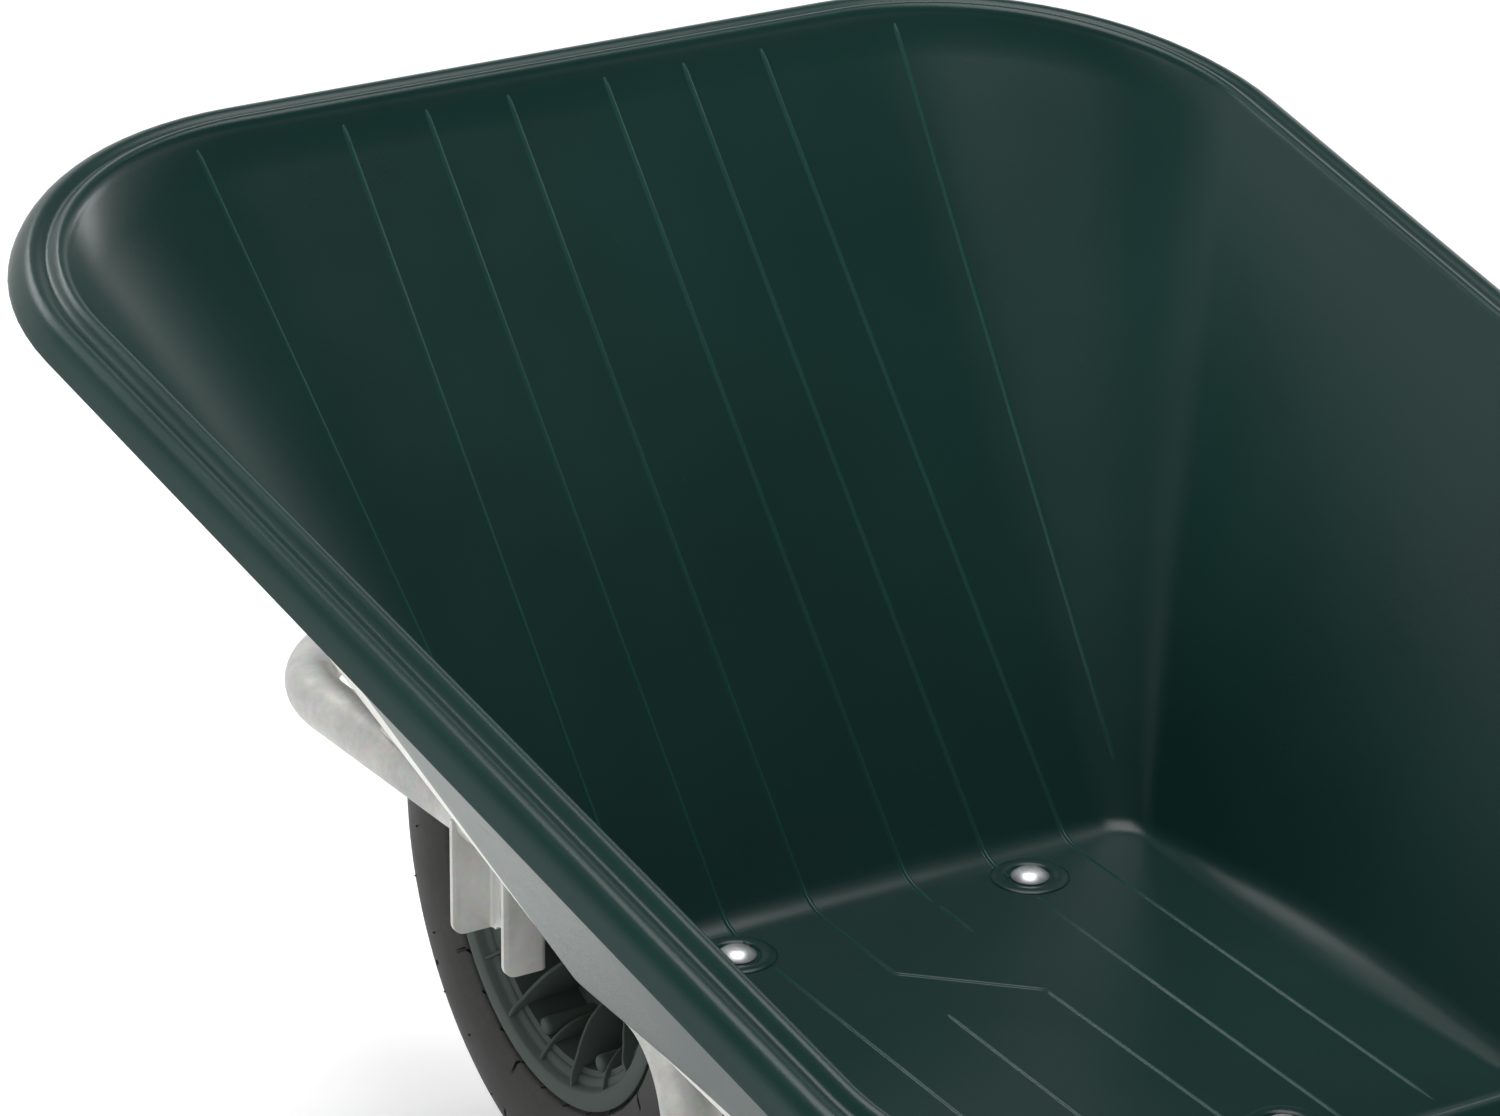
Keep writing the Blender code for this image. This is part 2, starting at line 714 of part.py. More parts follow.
def plug_profile():
    """A plug with a low head over the tube's end and a stub inside it."""
    return [
        (0.0, -0.003),
        (TUBE_R - 0.0015, -0.003),
        (TUBE_R, -0.002),
        (TUBE_R, 0.0),
        (PLUG_STUB_R, 0.0),
        (PLUG_STUB_R, PLUG_DEPTH),
        (0.0, PLUG_DEPTH),
    ]


def make_ends(plastic, datum):
    """A grip over each handle and a plug in each nose end of the main tubes."""
    right = main_tube_path()
    for side, path in (("right", right), ("left", mirrored(right))):
        ends = (
            (f"handle_grip_{side}", grip_profile(), path[-1], path[-2] - path[-1], 0.0),
            (f"nose_plug_{side}", plug_profile(), path[0], path[1] - path[0], -GAP),
        )
        for name, profile, end_point, inwards, shift in ends:
            rotation = inwards.to_track_quat("Z", "Y").to_euler()
            location = end_point + inwards.normalized() * shift
            place(name, mesh_from(name, turned(profile, 24)), plastic, datum, location, rotation)


# ---------------------------------------------------------------- assembly


def main():
    clear_scene()
    green = material("tray_plastic", (0.020, 0.045, 0.040), 0.40)
    wheel_green = material("wheel_plastic", (0.030, 0.050, 0.042), 0.45)
    galvanised = material("galvanised_steel", (0.58, 0.58, 0.56), 0.45, 1.0)
    zinc = material("zinc_plate", (0.70, 0.71, 0.72), 0.25, 1.0)
    tyre_rubber = material("tyre_rubber", (0.035, 0.035, 0.035), 0.75)
    tube_rubber = material("tube_rubber", (0.020, 0.020, 0.020), 0.60)
    black = material("black_plastic", (0.015, 0.015, 0.016), 0.50)

    datum = empty("datum", DATUM)
    wheel = empty("wheel_axis", AXLE, datum)
    make_tray(green, datum)
    make_tubes(galvanised, datum)
    make_cross_bar(galvanised, datum)
    make_straps(galvanised, datum)
    make_brackets(galvanised, datum)
    make_axle(zinc, datum)
    make_bushes(black, wheel)
    make_wheel_centre(wheel_green, wheel)
    make_tyre(tyre_rubber, wheel)
    make_inner_tube(tube_rubber, wheel)
    make_valve_cap(black, wheel)
    make_tray_fasteners(zinc, datum)
    make_ends(black, datum)


main()
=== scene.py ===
"""The finished look of a one-wheel garden wheelbarrow, laid out as an add-on and run as a script.

Metres, +Z up, +Y forwards to the nose, +X to the right of the person who pushes it. The fixed
frame gives the places. Shapes are drawn from the datum, the top of the tray's floor midway
between the two front tray bolts, or round the wheel's axle.
"""

import json
import math

import bmesh
import bpy
from bpy.props import FloatProperty, FloatVectorProperty, IntProperty, PointerProperty
from mathutils import Matrix, Vector
from mathutils.bvhtree import BVHTree

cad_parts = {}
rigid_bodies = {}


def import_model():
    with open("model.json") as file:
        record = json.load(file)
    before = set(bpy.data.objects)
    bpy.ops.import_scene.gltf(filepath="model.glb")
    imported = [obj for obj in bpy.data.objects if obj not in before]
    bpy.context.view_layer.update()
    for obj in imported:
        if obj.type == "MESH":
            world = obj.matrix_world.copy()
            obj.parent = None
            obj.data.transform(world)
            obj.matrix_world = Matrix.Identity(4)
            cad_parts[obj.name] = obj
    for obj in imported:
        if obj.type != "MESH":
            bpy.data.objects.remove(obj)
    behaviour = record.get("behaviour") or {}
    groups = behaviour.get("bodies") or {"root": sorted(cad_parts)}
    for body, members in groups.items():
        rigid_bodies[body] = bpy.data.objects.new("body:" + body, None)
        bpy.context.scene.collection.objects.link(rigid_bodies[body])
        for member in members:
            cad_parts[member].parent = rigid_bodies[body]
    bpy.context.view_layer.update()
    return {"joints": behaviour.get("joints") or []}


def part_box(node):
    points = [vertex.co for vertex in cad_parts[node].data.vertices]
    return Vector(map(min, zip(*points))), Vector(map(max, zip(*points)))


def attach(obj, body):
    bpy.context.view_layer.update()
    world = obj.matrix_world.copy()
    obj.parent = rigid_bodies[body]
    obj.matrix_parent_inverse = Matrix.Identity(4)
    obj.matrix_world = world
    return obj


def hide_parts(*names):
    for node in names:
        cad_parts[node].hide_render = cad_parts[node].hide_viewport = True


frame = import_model()

bl_info = {
    "name": "Garden Wheelbarrow",
    "version": (1, 0, 0),
    "blender": (4, 5, 0),
    "location": "3D View > Sidebar > Barrow",
    "description": "Builds the moulded tray, bent-tube frame and pneumatic wheel of a wheelbarrow",
    "category": "Add Mesh",
}


def middle(node):
    """The centre of a CAD node's box."""
    low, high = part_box(node)
    return (low + high) / 2


SIDES = (("right", 1), ("left", -1))
HEAD_RISE = 0.0048
DATUM = Vector((0, middle("tray_bolt_front_left").y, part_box("tray_bolt_front_left")[1].z - HEAD_RISE))
AXLE = Vector(frame["joints"][0]["pos_m"])
FRAME_BODY = frame["joints"][0]["parent"]
WHEEL_BODY = frame["joints"][0]["child"]

# Tube centrelines, from the datum
MAIN_Z = -0.0205
LOWER_Z = -0.053
NOSE_Z = -0.056
SKID_Z = 0.016 - DATUM.z
MAIN_CORNERS = (
    (0.0621, 0.505, MAIN_Z),
    (0.1276, 0.105, MAIN_Z),
    (0.1575, -0.365, MAIN_Z),
    (0.2660, -0.830, 0.2000),
    (0.2850, -1.000, 0.2160),
)
MAIN_BENDS = (0.60, 0.22, 0.20)
LOWER_CORNERS = (
    (0.1785, -0.4550, 0.0222),
    (0.1500, -0.3750, SKID_Z),
    (0.1500, -0.0450, SKID_Z),
    (0.1090, 0.0060, LOWER_Z),
    (0.1025, 0.1250, LOWER_Z),
    (0.0740, 0.2300, LOWER_Z),
    (0.0876, 0.5600, NOSE_Z),
)
LOWER_BENDS = (0.060, 0.060, 0.075, 0.120, 0.150, 0.0815)
HOOP_BENDS = LOWER_BENDS[4:]

# Small sizes that pieces share
AXLE_R = 0.0080
AXLE_HOLE_R = 0.0082
SPACER_R = 0.0120
BUSH_R = 0.0125
BUSH_FLANGE_R = 0.0180
BUSH_FLANGE = 0.0022
FOLD_OUTSIDE = 0.0045
FOLD_INSIDE = 0.0018
TRAY_BOLT_R = 0.0040
TRAY_HOLE_R = 0.0042
WASHER_R = 0.0085
TRAY_NUT_FLATS = 0.013
CROSS_BAR_R = 0.011
CROSS_BAR_WALL = 0.0015

# Tray outlines, from the datum: the sharp edge of the floor, and the ridge round the mouth
FLOOR = {"front": 0.026, "rear": -0.315, "half_front": 0.172, "half_rear": 0.182}
RIDGE = {"front": 0.359, "rear": -0.590, "half_front": 0.352, "half_rear": 0.315}
RIDGE_FRONT_Z = 0.3605
RIM_SLOPE = 0.17
# Rim section: (outwards, upwards) from the ridge, over a groove and a crown to the lip
RIM_SECTION = (
    (-0.0040, -0.0070),
    (-0.0027, -0.0040),
    (-0.0012, -0.0016),
    (0.0006, -0.0003),
    (0.0024, 0.0),
    (0.0044, -0.0006),
    (0.0064, -0.0022),
    (0.0082, -0.0038),
    (0.0098, -0.0046),
    (0.0114, -0.0046),
    (0.0130, -0.0038),
    (0.0150, -0.0031),
    (0.0172, -0.0030),
    (0.0196, -0.0037),
    (0.0222, -0.0053),
    (0.0246, -0.0076),
    (0.0268, -0.0105),
    (0.0286, -0.0138),
    (0.0296, -0.0162),
    (0.0298, -0.0172),
)


# ---------------------------------------------------------------- settings


def length(name, description, default):
    return FloatProperty(name=name, description=description, default=default, unit="LENGTH", precision=4)


def colour(name, description, default):
    return FloatVectorProperty(
        name=name, description=description, default=default, size=3, subtype="COLOR", min=0.0, max=1.0
    )


class TraySettings(bpy.types.PropertyGroup):
    wall: length("Wall", "Thickness of the moulding", 0.0038)
    floor_fillet: length("Floor fillet", "Radius between the floor and the walls", 0.032)
    nose_fillet: length("Nose fillet", "Radius of the fillet at the floor's nose corners", 0.019)
    floor_corner: length("Floor corner", "Radius of the floor's corners", 0.022)
    front_corner: length("Front corner", "Radius of the mouth's front corners", 0.160)
    rear_corner: length("Rear corner", "Radius of the mouth's rear corners", 0.120)
    rib_width: length("Rib width", "Width of the moulded lines on the floor and the nose wall", 0.0036)
    rib_height: length("Rib height", "Height of the moulded lines", 0.0011)
    green: colour("Green", "Colour of the tray's plastic", (0.0060, 0.0350, 0.0300))


class FrameSettings(bpy.types.PropertyGroup):
    tube: length("Tube radius", "Outside radius of the frame tube", 0.016)
    tube_wall: length("Tube wall", "Thickness of the frame tube", 0.002)
    plate: length("Plate", "Thickness of the folded axle brackets", 0.003)
    weld: length("Weld", "Radius of a weld bead", 0.0024)
    zinc: colour("Zinc", "Colour of the galvanised coating", (0.58, 0.58, 0.555))


class WheelSettings(bpy.types.PropertyGroup):
    tyre_radius: length("Tyre radius", "Outside radius of the tyre", 0.200)
    rim_radius: length("Rim radius", "Outside radius of the rim flange", 0.120)
    ribs: IntProperty(name="Ribs", description="Long ribs on each side of the wheel", default=9, min=3)
    tread_pitches: IntProperty(name="Tread pitches", description="Slits round each shoulder", default=30)
    rubber: colour("Rubber", "Colour of the tyre", (0.017, 0.017, 0.0160))
    plastic: colour("Plastic", "Colour of the wheel centre", (0.008, 0.018, 0.0145))


class StageSettings(bpy.types.PropertyGroup):
    lens: FloatProperty(name="Lens", description="Camera lens for a 36 mm sensor", default=136.915)
    floor: colour("Floor", "Colour of the studio floor", (0.92, 0.92, 0.92))


def settings():
    return bpy.context.scene.barrow


class BarrowSettings(bpy.types.PropertyGroup):
    tray: PointerProperty(name="Tray", description="The moulded tray", type=TraySettings)
    frame: PointerProperty(name="Frame", description="Tubes and brackets", type=FrameSettings)
    wheel: PointerProperty(name="Wheel", description="Wheel centre and tyre", type=WheelSettings)
    stage: PointerProperty(name="Stage", description="Floor, lights and camera", type=StageSettings)


# ---------------------------------------------------------------- shader maths


class Signal:
    """A node's output, whose arithmetic adds Math nodes to the same tree."""

    def __init__(self, paint, socket):
        self.paint = paint
        self.socket = socket

    def maths(self, operation, *values):
        inputs = dict(enumerate(values))
        return self.paint.node("ShaderNodeMath", {"operation": operation}, inputs)

    def __add__(self, other):
        return self.maths("ADD", self, other)

    def __sub__(self, other):
        return self.maths("SUBTRACT", self, other)

    def __mul__(self, other):
        return self.maths("MULTIPLY", self, other)

    def __rsub__(self, other):
        return self.maths("SUBTRACT", other, self)

    __radd__ = __add__
    __rmul__ = __mul__


class Paint:
    """A material with one Principled shader and the nodes that feed it."""

    def __init__(self, name, **constants):
        self.material = bpy.data.materials.new(name)
        self.material.use_nodes = True
        self.tree = self.material.node_tree
        self.shader = self.tree.nodes["Principled BSDF"]
        for socket, value in constants.items():
            self.shader.inputs[socket.replace("_", " ")].default_value = value
        self.place = self.node("ShaderNodeTexCoord", output="Object")

    def node(self, kind, options=None, inputs=None, output=0):
        """Adds a node: its options first, then the values or links of its sockets."""
        made = self.tree.nodes.new(kind)
        for name, value in (options or {}).items():
            if name == "stops":
                self.set_stops(made.color_ramp, value)
            else:
                setattr(made, name, value)
        for socket, value in (inputs or {}).items():
            if isinstance(value, Signal):
                self.tree.links.new(value.socket, made.inputs[socket])
            else:
                made.inputs[socket].default_value = value
        return Signal(self, made.outputs[output])

    def set_stops(self, ramp, stops):
        while len(ramp.elements) < len(stops):
            ramp.elements.new(1.0)
        for element, (position, value) in zip(ramp.elements, stops):
            element.position = position
            element.color = (value, value, value, 1.0)

    def ramp(self, signal, *stops):
        """The signal run through a grey ramp of (position, value) stops."""
        return self.node("ShaderNodeValToRGB", {"stops": stops}, {"Fac": signal})

    def noise(self, scale, detail=3.0, roughness=0.5, where=None):
        inputs = {"Vector": where or self.place, "Scale": scale, "Detail": detail, "Roughness": roughness}
        return self.node("ShaderNodeTexNoise", None, inputs)

    def cells(self, scale, where=None, output="Distance", randomness=1.0):
        inputs = {"Vector": where or self.place, "Scale": scale, "Randomness": randomness}
        return self.node("ShaderNodeTexVoronoi", None, inputs, output)

    def stretched(self, x, y, z):
        """The place, scaled along each axis, for grain that runs one way."""
        return self.node("ShaderNodeVectorMath", {"operation": "MULTIPLY"}, {0: self.place, 1: (x, y, z)})

    def blend(self, factor, first, second):
        """A colour between two others, each a colour or a signal."""
        full = [value if isinstance(value, Signal) else (*value, 1.0) for value in (first, second)]
        inputs = {"Factor": factor, 6: full[0], 7: full[1]}
        return self.node("ShaderNodeMix", {"data_type": "RGBA"}, inputs, 2)

    def feed(self, **signals):
        for socket, signal in signals.items():
            self.tree.links.new(signal.socket, self.shader.inputs[socket.replace("_", " ")])

    def bump(self, height, depth, strength=1.0):
        """Feeds a bump of this depth in metres to the shader's normal."""
        inputs = {"Height": height, "Distance": depth, "Strength": strength}
        self.feed(Normal=self.node("ShaderNodeBump", None, inputs))


def tint(rgb, share):
    """A colour scaled by a share."""
    return tuple(channel * share for channel in rgb)


def tray_plastic(name="tray_plastic", share=1.0):
    """Satin moulded polypropylene: faint flow marks, a fine skin and light scuffs."""
    # A share above 1 gives the lighter copy used on the moulded lines, partly wear and partly painted
    # highlight.
    green = tint(tuple(settings().tray.green), share)
    paint = Paint(name, Specular_IOR_Level=0.30)
    flow = paint.ramp(paint.noise(3.2, 4.0, 0.55), (0.35, 0.0), (0.70, 1.0))
    skin = paint.noise(900.0, 2.0, 0.6)
    streaks = paint.noise(160.0, 5.0, 0.7, paint.stretched(1.0, 0.06, 0.25))
    scuffs = paint.ramp(streaks, (0.66, 0.0), (0.80, 1.0))
    dust = paint.ramp(paint.cells(420.0), (0.0, 1.0), (0.055, 0.0))
    body = paint.blend(flow, tint(green, 0.88), tint(green, 1.14))
    marked = paint.blend(scuffs * 0.10, body, (0.060, 0.085, 0.078))
    paint.feed(Base_Color=paint.blend(dust * 0.16, marked, (0.16, 0.18, 0.17)))
    paint.feed(Roughness=0.25 + flow * 0.06 + scuffs * 0.10 + skin * 0.05)
    paint.bump(skin + paint.noise(46.0, 2.0) * 0.4, 0.00008, 0.5)
    return paint.material


def wheel_plastic():
    """The wheel centre's plastic: coarser, greyer and dustier than the tray's."""
    base = tuple(settings().wheel.plastic)
    paint = Paint("wheel_plastic", Specular_IOR_Level=0.32)
    cloud = paint.ramp(paint.noise(14.0, 4.0, 0.6), (0.35, 0.0), (0.72, 1.0))
    grain = paint.noise(700.0, 2.0, 0.6)
    dust = paint.ramp(paint.noise(90.0, 6.0, 0.72), (0.52, 0.0), (0.74, 1.0))
    body = paint.blend(cloud, tint(base, 0.85), tint(base, 1.25))
    paint.feed(Base_Color=paint.blend(dust * 0.18, body, (0.17, 0.18, 0.16)))
    paint.feed(Roughness=0.36 + cloud * 0.10 + dust * 0.12)
    paint.bump(grain + cloud * 0.5, 0.00012, 0.5)
    return paint.material


def galvanised(name="galvanised_steel", mottle=1.0, share=1.0):
    """Hot-dip zinc: pale grey with soft clouds, small spangles and dull streaks."""
    # A share above 1 makes a lighter copy of the zinc, used as painted light.
    zinc = tint(tuple(settings().frame.zinc), share)
    paint = Paint(name, Metallic=0.25)
    clouds = paint.ramp(paint.noise(38.0, 6.0, 0.62), (0.34, 0.0), (0.68, 1.0))
    blotches = paint.ramp(paint.noise(13.0, 5.0, 0.7), (0.42, 0.0), (0.64, 1.0))
    spangle = paint.cells(260.0, output="Color")
    spots = paint.ramp(paint.noise(150.0, 4.0, 0.8), (0.60, 0.0), (0.74, 1.0))
    pale = paint.blend(clouds * (0.75 * mottle), zinc, tint(zinc, 0.74))
    dull = paint.blend(blotches * (0.60 * mottle), pale, tint(zinc, 0.60))
    speckled = paint.blend(spots * (0.35 * mottle), dull, tint(zinc, 0.48))
    paint.feed(Base_Color=paint.blend(0.05, speckled, spangle))
    paint.feed(Roughness=0.42 + clouds * 0.12 + blotches * 0.08)
    paint.bump(clouds * 0.6 + paint.noise(320.0, 3.0) * 0.5, 0.00016, 0.6)
    return paint.material


def zinc_plate():
    """Bright zinc plating with fine turning marks and a few dull spots."""
    paint = Paint("zinc_plate", Metallic=1.0)
    marks = paint.noise(1400.0, 2.0, 0.5, paint.stretched(1.0, 1.0, 0.1))
    spots = paint.ramp(paint.noise(260.0, 4.0, 0.7), (0.56, 0.0), (0.76, 1.0))
    paint.feed(Base_Color=paint.blend(spots * 0.5, (0.42, 0.43, 0.44), (0.28, 0.30, 0.31)))
    paint.feed(Roughness=0.30 + spots * 0.16 + marks * 0.06)
    paint.bump(marks, 0.00003, 0.5)
    return paint.material


def tyre_rubber(name="tyre_rubber", share=1.0):
    """Dull carbon rubber with dry dust in its hollows."""
    rubber = tint(tuple(settings().wheel.rubber), share)
    paint = Paint(name, Specular_IOR_Level=0.28)
    cloud = paint.ramp(paint.noise(18.0, 5.0, 0.6), (0.30, 0.0), (0.75, 1.0))
    grain = paint.noise(850.0, 3.0, 0.7)
    dust = paint.ramp(paint.noise(110.0, 6.0, 0.75), (0.50, 0.0), (0.78, 1.0))
    body = paint.blend(cloud, tint(rubber, 0.80), tint(rubber, 1.20))
    paint.feed(Base_Color=paint.blend(dust * 0.20, body, (0.14, 0.135, 0.125)))
    paint.feed(Roughness=0.50 + cloud * 0.12 + dust * 0.15)
    paint.bump(grain + dust * 0.4, 0.00020, 0.6)
    return paint.material


def black_plastic():
    """Textured black plastic for the grips, plugs, bushes and valve cap."""
    paint = Paint("black_plastic", Specular_IOR_Level=0.45)
    leather = paint.cells(900.0)
    worn = paint.ramp(paint.noise(70.0, 5.0, 0.65), (0.50, 0.0), (0.78, 1.0))
    paint.feed(Base_Color=paint.blend(worn * 0.45, (0.013, 0.013, 0.014), (0.045, 0.045, 0.046)))
    paint.feed(Roughness=0.46 + worn * 0.16)
    paint.bump(leather, 0.00018, 0.6)
    return paint.material


def finish_named(name):
    """The material of this name, made the first time that it is asked for."""
    makers = {
        "tray_plastic": tray_plastic,
        # A lighter copy of the tray plastic for the moulded lines: partly wear on their crests, partly a
        # painted highlight for the light that they catch.
        "worn_and_highlit_tray_plastic": lambda: tray_plastic("worn_and_highlit_tray_plastic", 1.7),
        "wheel_plastic": wheel_plastic,
        "galvanised_steel": galvanised,
        # Brackets: less mottled zinc, painted 1.1 times lighter than the hoop's, as painted light for how
        # brightly they are lit.
        "bracket_galvanised_painted_light": lambda: galvanised("bracket_galvanised_painted_light", 0.35, 1.10),
        # Main tubes: less mottled zinc, painted 1.5 times lighter; the extra lightness is painted light for
        # their lit upper sides, which lie in the tray's shadow here.
        "tube_galvanised_painted_light": lambda: galvanised("tube_galvanised_painted_light", 0.20, 1.50),
        "zinc_plate": zinc_plate,
        "tyre_rubber": tyre_rubber,
        "tube_rubber": lambda: tyre_rubber("tube_rubber", 0.5),
        "black_plastic": black_plastic,
    }
    return bpy.data.materials.get(name) or makers[name]()


# ---------------------------------------------------------------- shape helpers


def round_corner(before, corner, after, radius, steps):
    """Points of the arc that rounds a corner, from one tangent point to the other."""
    into = (corner - before).normalized()
    out = (after - corner).normalized()
    turn = into.angle(out)
    start = corner - into * radius * math.tan(turn / 2)
    inward = (out - into * into.dot(out)).normalized()
    centre = start + inward * radius
    angles = [turn * i / steps for i in range(steps + 1)]
    return [centre - inward * radius * math.cos(a) + into * radius * math.sin(a) for a in angles]


def bent_path(corners, radii, spacing=0.006):
    """An open path through the corners, each inner one rounded to its bend radius."""
    points = [Vector(corner) for corner in corners]
    path = [points[0]]
    for i, radius in enumerate(radii, start=1):
        turn = (points[i] - points[i - 1]).angle(points[i + 1] - points[i])
        steps = max(3, round(turn * radius / spacing))
        path += round_corner(points[i - 1], points[i], points[i + 1], radius, steps)
    path.append(points[-1])
    return path


def soften(points, radius, steps=3):
    """A closed outline or section with its corners eased, as far as its sides allow."""
    points = [Vector(point) for point in points]
    eased = []
    for i, point in enumerate(points):
        before, after = points[i - 1], points[(i + 1) % len(points)]
        into, out = point - before, after - point
        reach = min(radius, 0.45 * into.length, 0.45 * out.length)
        if reach < 1e-6 or into.angle(out) < 0.05:
            eased.append(point)
            continue
        first, last = point - into.normalized() * reach, point + out.normalized() * reach
        for step in range(steps + 1):
            s = step / steps
            eased.append(first.lerp(point, s).lerp(point.lerp(last, s), s))
    return eased


def mirrored(points):
    """The same points on the other side of the barrow."""
    return [Vector((-p[0], p[1], p[2])) for p in points]


def skin(shape, rings, close_rows=False):
    """Faces between successive closed rings. Returns the rings' vertices."""
    rows = [[shape.verts.new(p) for p in ring] for ring in rings]
    pairs = list(zip(rows, rows[1:]))
    if close_rows:
        pairs.append((rows[-1], rows[0]))
    for low, high in pairs:
        for k in range(len(low)):
            n = (k + 1) % len(low)
            shape.faces.new((low[k], low[n], high[n], high[k]))
    return rows


def directions(path):
    """The unit direction of a path at each of its points."""
    last = len(path) - 1
    return [(path[min(i + 1, last)] - path[max(i - 1, 0)]).normalized() for i in range(last + 1)]


def swept(shape, path, section, normals, closed=False, caps=True):
    """Sweeps a section, (sideways, upwards) pairs or a function of the step, along a path."""
    rings = []
    for i, (point, along, normal) in enumerate(zip(path, directions(path), normals)):
        up = (normal - along * normal.dot(along)).normalized()
        side = along.cross(up)
        pairs = section(i) if callable(section) else section
        rings.append([point + side * s + up * u for s, u in pairs])
    rows = skin(shape, rings, close_rows=closed)
    if caps and not closed:
        shape.faces.new(rows[0])
        shape.faces.new(rows[-1])
    return rows


def disc(radius, sides):
    """A round section, as (sideways, upwards) pairs."""
    angles = [2 * math.pi * k / sides for k in range(sides)]
    return [(radius * math.cos(a), radius * math.sin(a)) for a in angles]


def add_tube(shape, path, radius, wall, sides=40):
    """A hollow tube with square cut ends."""
    normals = [Vector((0, 0, 1))] * len(path)
    outer = swept(shape, path, disc(radius, sides), normals, caps=False)
    inner = swept(shape, path, disc(radius - wall, sides), normals, caps=False)
    for end in (0, -1):
        for k in range(sides):
            n = (k + 1) % sides
            shape.faces.new((outer[end][k], outer[end][n], inner[end][n], inner[end][k]))


def add_turned(shape, profile, sides=48, axis="Z", at=(0, 0, 0)):
    """A ring turned about an axis from a closed section of (radius, height) pairs."""
    rings = [[Vector((x, y, h)) for x, y in disc(max(r, 1e-5), sides)] for r, h in profile]
    rows = skin(shape, rings, close_rows=True)
    verts = [vert for row in rows for vert in row]
    if axis == "X":
        bmesh.ops.rotate(shape, verts=verts, matrix=Matrix.Rotation(math.pi / 2, 3, "Y"))
    bmesh.ops.translate(shape, verts=verts, vec=at)
    return verts


def add_plate(shape, outline, low, high, place):
    """A flat plate between two heights, its outline put in space by place(point, height)."""
    rows = skin(shape, [[place(p, h) for p in outline] for h in (low, high)])
    shape.faces.new(rows[0])
    shape.faces.new(rows[-1])
    return rows[0] + rows[1]


def pin(radius, length, sides, place):
    """A plain round pin, centred where it is placed."""
    shape = bmesh.new()
    sizes = {"radius1": radius, "radius2": radius, "depth": length}
    bmesh.ops.create_cone(shape, cap_ends=True, segments=sides, matrix=place, **sizes)
    return shape


def mesh_object(name, shape, sharp=40.0):
    """An object of this shape, smooth except where faces turn by more than the sharp angle."""
    bmesh.ops.recalc_face_normals(shape, faces=shape.faces)
    mesh = bpy.data.meshes.new(name)
    shape.to_mesh(mesh)
    shape.free()
    mesh.shade_smooth()
    mesh.set_sharp_from_angle(angle=math.radians(sharp))
    made = bpy.data.objects.new(name, mesh)
    bpy.context.scene.collection.objects.link(made)
    return made


def apply_modifiers(piece):
    """Turns the evaluated shape into the piece's own mesh."""
    bpy.context.view_layer.update()
    graph = bpy.context.evaluated_depsgraph_get()
    mesh = bpy.data.meshes.new_from_object(piece.evaluated_get(graph))
    piece.modifiers.clear()
    piece.data = mesh


def bevelled(piece, width):
    """Eases the piece's sharp edges."""
    modifier = piece.modifiers.new("Edges", "BEVEL")
    modifier.width = width
    modifier.segments = 2
    modifier.limit_method = "ANGLE"
    modifier.angle_limit = math.radians(35)
    apply_modifiers(piece)
    piece.data.shade_smooth()
    piece.data.set_sharp_from_angle(angle=math.radians(45))


def cut(piece, cutters):
    """Cuts each helper out of the piece, and removes the helper."""
    for cutter in cutters:
        modifier = piece.modifiers.new("Cut", "BOOLEAN")
        modifier.object = cutter
        modifier.solver = "EXACT"
    apply_modifiers(piece)
    for cutter in cutters:
        bpy.data.objects.remove(cutter, do_unlink=True)


def settle(piece, finish, body, *nodes, origin=None):
    """Gives a piece its place, its material and its body, and hides the CAD nodes that it stands for."""
    piece.data.transform(Matrix.Translation(DATUM if origin is None else origin))
    piece.data.materials.clear()
    piece.data.materials.append(finish_named(finish))
    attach(piece, body)
    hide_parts(*nodes)
    return piece


# ---------------------------------------------------------------- tray


def outline(front, rear, half_front, half_rear, front_r, rear_r, z_front, z_rear):
    """A closed rounded outline, wider at one end, with points along its sides too."""
    corners = [
        Vector((half_front, front, z_front)),
        Vector((half_rear, rear, z_rear)),
        Vector((-half_rear, rear, z_rear)),
        Vector((-half_front, front, z_front)),
    ]
    radii = (front_r, rear_r, rear_r, front_r)
    arcs = []
    for i, radius in enumerate(radii):
        arcs.append(round_corner(corners[i - 1], corners[i], corners[(i + 1) % 4], radius, 22))
    loop = []
    for arc, following in zip(arcs, arcs[1:] + arcs[:1]):
        loop += arc
        loop += [arc[-1].lerp(following[0], step / 24) for step in range(1, 24)]
    return loop


def rim_outline(grow, rise):
    """The mouth of the tray, grown sideways from its ridge and raised along its slope."""
    tray = settings().tray
    rear = RIDGE["rear"] - grow
    return outline(
        RIDGE["front"] + grow,
        rear,
        RIDGE["half_front"] + grow,
        RIDGE["half_rear"] + grow,
        tray.front_corner + grow,
        tray.rear_corner + grow,
        RIDGE_FRONT_Z + rise + RIM_SLOPE * grow,
        RIDGE_FRONT_Z + rise + RIM_SLOPE * (rear - RIDGE["front"]),
    )


def fillet_radius(edge):
    """The fillet round the floor tightens towards its two nose corners."""
    tray = settings().tray
    nearest = min((edge - Vector((x, FLOOR["front"], 0))).length for x in (-0.172, 0.172))
    return tray.nose_fillet + (tray.floor_fillet - tray.nose_fillet) * min(1.0, nearest / 0.11)


def tray_rings():
    """Rings from the floor's edge, up the fillet and the wall, and over the rim to the lip."""
    tray = settings().tray
    corner = tray.floor_corner
    bottom = outline(**FLOOR, front_r=corner, rear_r=corner, z_front=0, z_rear=0)
    rims = [rim_outline(outwards, upwards) for outwards, upwards in RIM_SECTION]
    fillets = []
    for edge, top in zip(bottom, rims[0]):
        inwards = Vector((edge.x - top.x, edge.y - top.y, 0))
        fillets.append(round_corner(edge + inwards, edge, top, fillet_radius(edge), 10))
    rings = [list(ring) for ring in zip(*fillets)]
    lowest = rings[-1]
    walls = [[a.lerp(b, step / 20) for a, b in zip(lowest, rims[0])] for step in range(1, 20)]
    return rings + walls + rims


